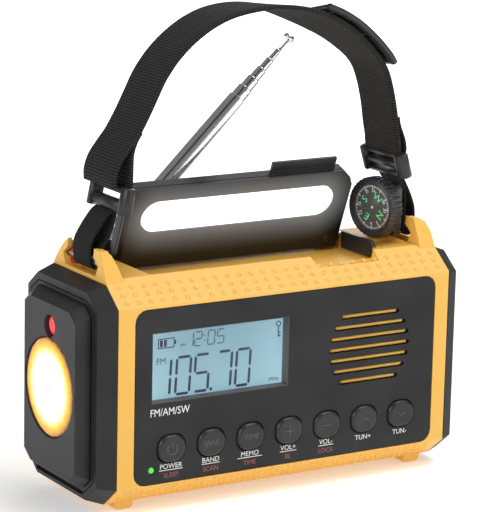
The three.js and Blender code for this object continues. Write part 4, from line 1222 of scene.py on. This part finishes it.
def compass_lathe(name, profile, sides, *settings, **more):
    lathe(name, profile, COMPASS.translation, COMPASS_AXIS, sides, *settings, **more)


def build_compass_marks():
    """Four green letters and the numbers of every thirty degrees between them."""
    marks = [("N", 0), ("E", 90), ("S", 180), ("W", 270)]
    marks += [(str(3 * k), 30 * k) for k in range(12) if k % 3]
    facing = Matrix(((0, 0, -1, 0), (-1, 0, 0, 0), (0, 1, 0, 0), (0, 0, 0, 1)))
    for text, bearing in marks:
        t = radians(NORTH - bearing)
        # The green letters get the painted glow; the numbers are plain white print.
        size, reach, material = (4.3, 4.7, DIAL_GREEN_PAINTED_GLOW) if text.isalpha() else (1.9, 6.5, PRINT_WHITE)
        mesh = lettering(text, size)
        where = Matrix.Translation(Vector((1.26, reach * -cos(t), reach * sin(t))) * MM)
        mesh.transform(COMPASS @ where @ facing @ Matrix.Rotation(t - pi / 2, 4, "Z"))
        place_piece("compass_mark_" + text, mesh, material, *DIAL, smooth=False)


def build_compass():
    """Knurled button compass: cup, holder, dial with its print, and a slightly domed lens."""
    case = (COMPASS_BLACK, "housing", "compass_body")
    bevel(place_piece("compass_cup", compass_cup(), *case, ["compass_case"], smooth=False), 0.08, 1, 40.0)
    bevel(place_piece("compass_holder", compass_holder(), *case), 0.5, 3)
    card = [(0, 1.32), (8.9, 1.32), (9.2, 1.6), (9.2, 2.2), (0, 2.2)]
    compass_lathe("compass_dial_card", card, 48, COMPASS_BLACK, *DIAL, ["compass_card"])
    place_piece("compass_ticks", compass_ticks(), PRINT_WHITE, *DIAL, smooth=False)
    pivot = [(0, 1.0), (0.4, 1.04), (0.55, 1.14), (0.55, 1.4), (0, 1.4)]
    compass_lathe("compass_pivot", pivot, 20, PRINT_WHITE, *DIAL)
    build_compass_marks()
    lens = [(0, 0), (5, 0.08), (8.5, 0.3), (9.6, 0.5), (9.6, 0.9), (0, 0.75)]
    compass_lathe("compass_lens", lens, 48, CLEAR, slot="clear_plastic")


def build_red_block():
    """Small red moulding beside the rear left strap ear."""

    def build(bm):
        prism(bm, [(-70.8, 88.0), (-66.4, 88.0), (-66.4, 92.6), (-67.4, 93.4), (-70.8, 93.4)], 37.4, 41.4)

    bevel(drawn("red_block", build, DARK_RED), 0.3)


# ---- everything
add_camera()
add_studio()
build_housing()
build_dots()
build_torch()
build_display()
build_keys()
build_panel_details()
build_grille()
build_insides()
build_grip()
build_lamp()
build_antenna()
build_strap()
build_compass()
build_red_block()
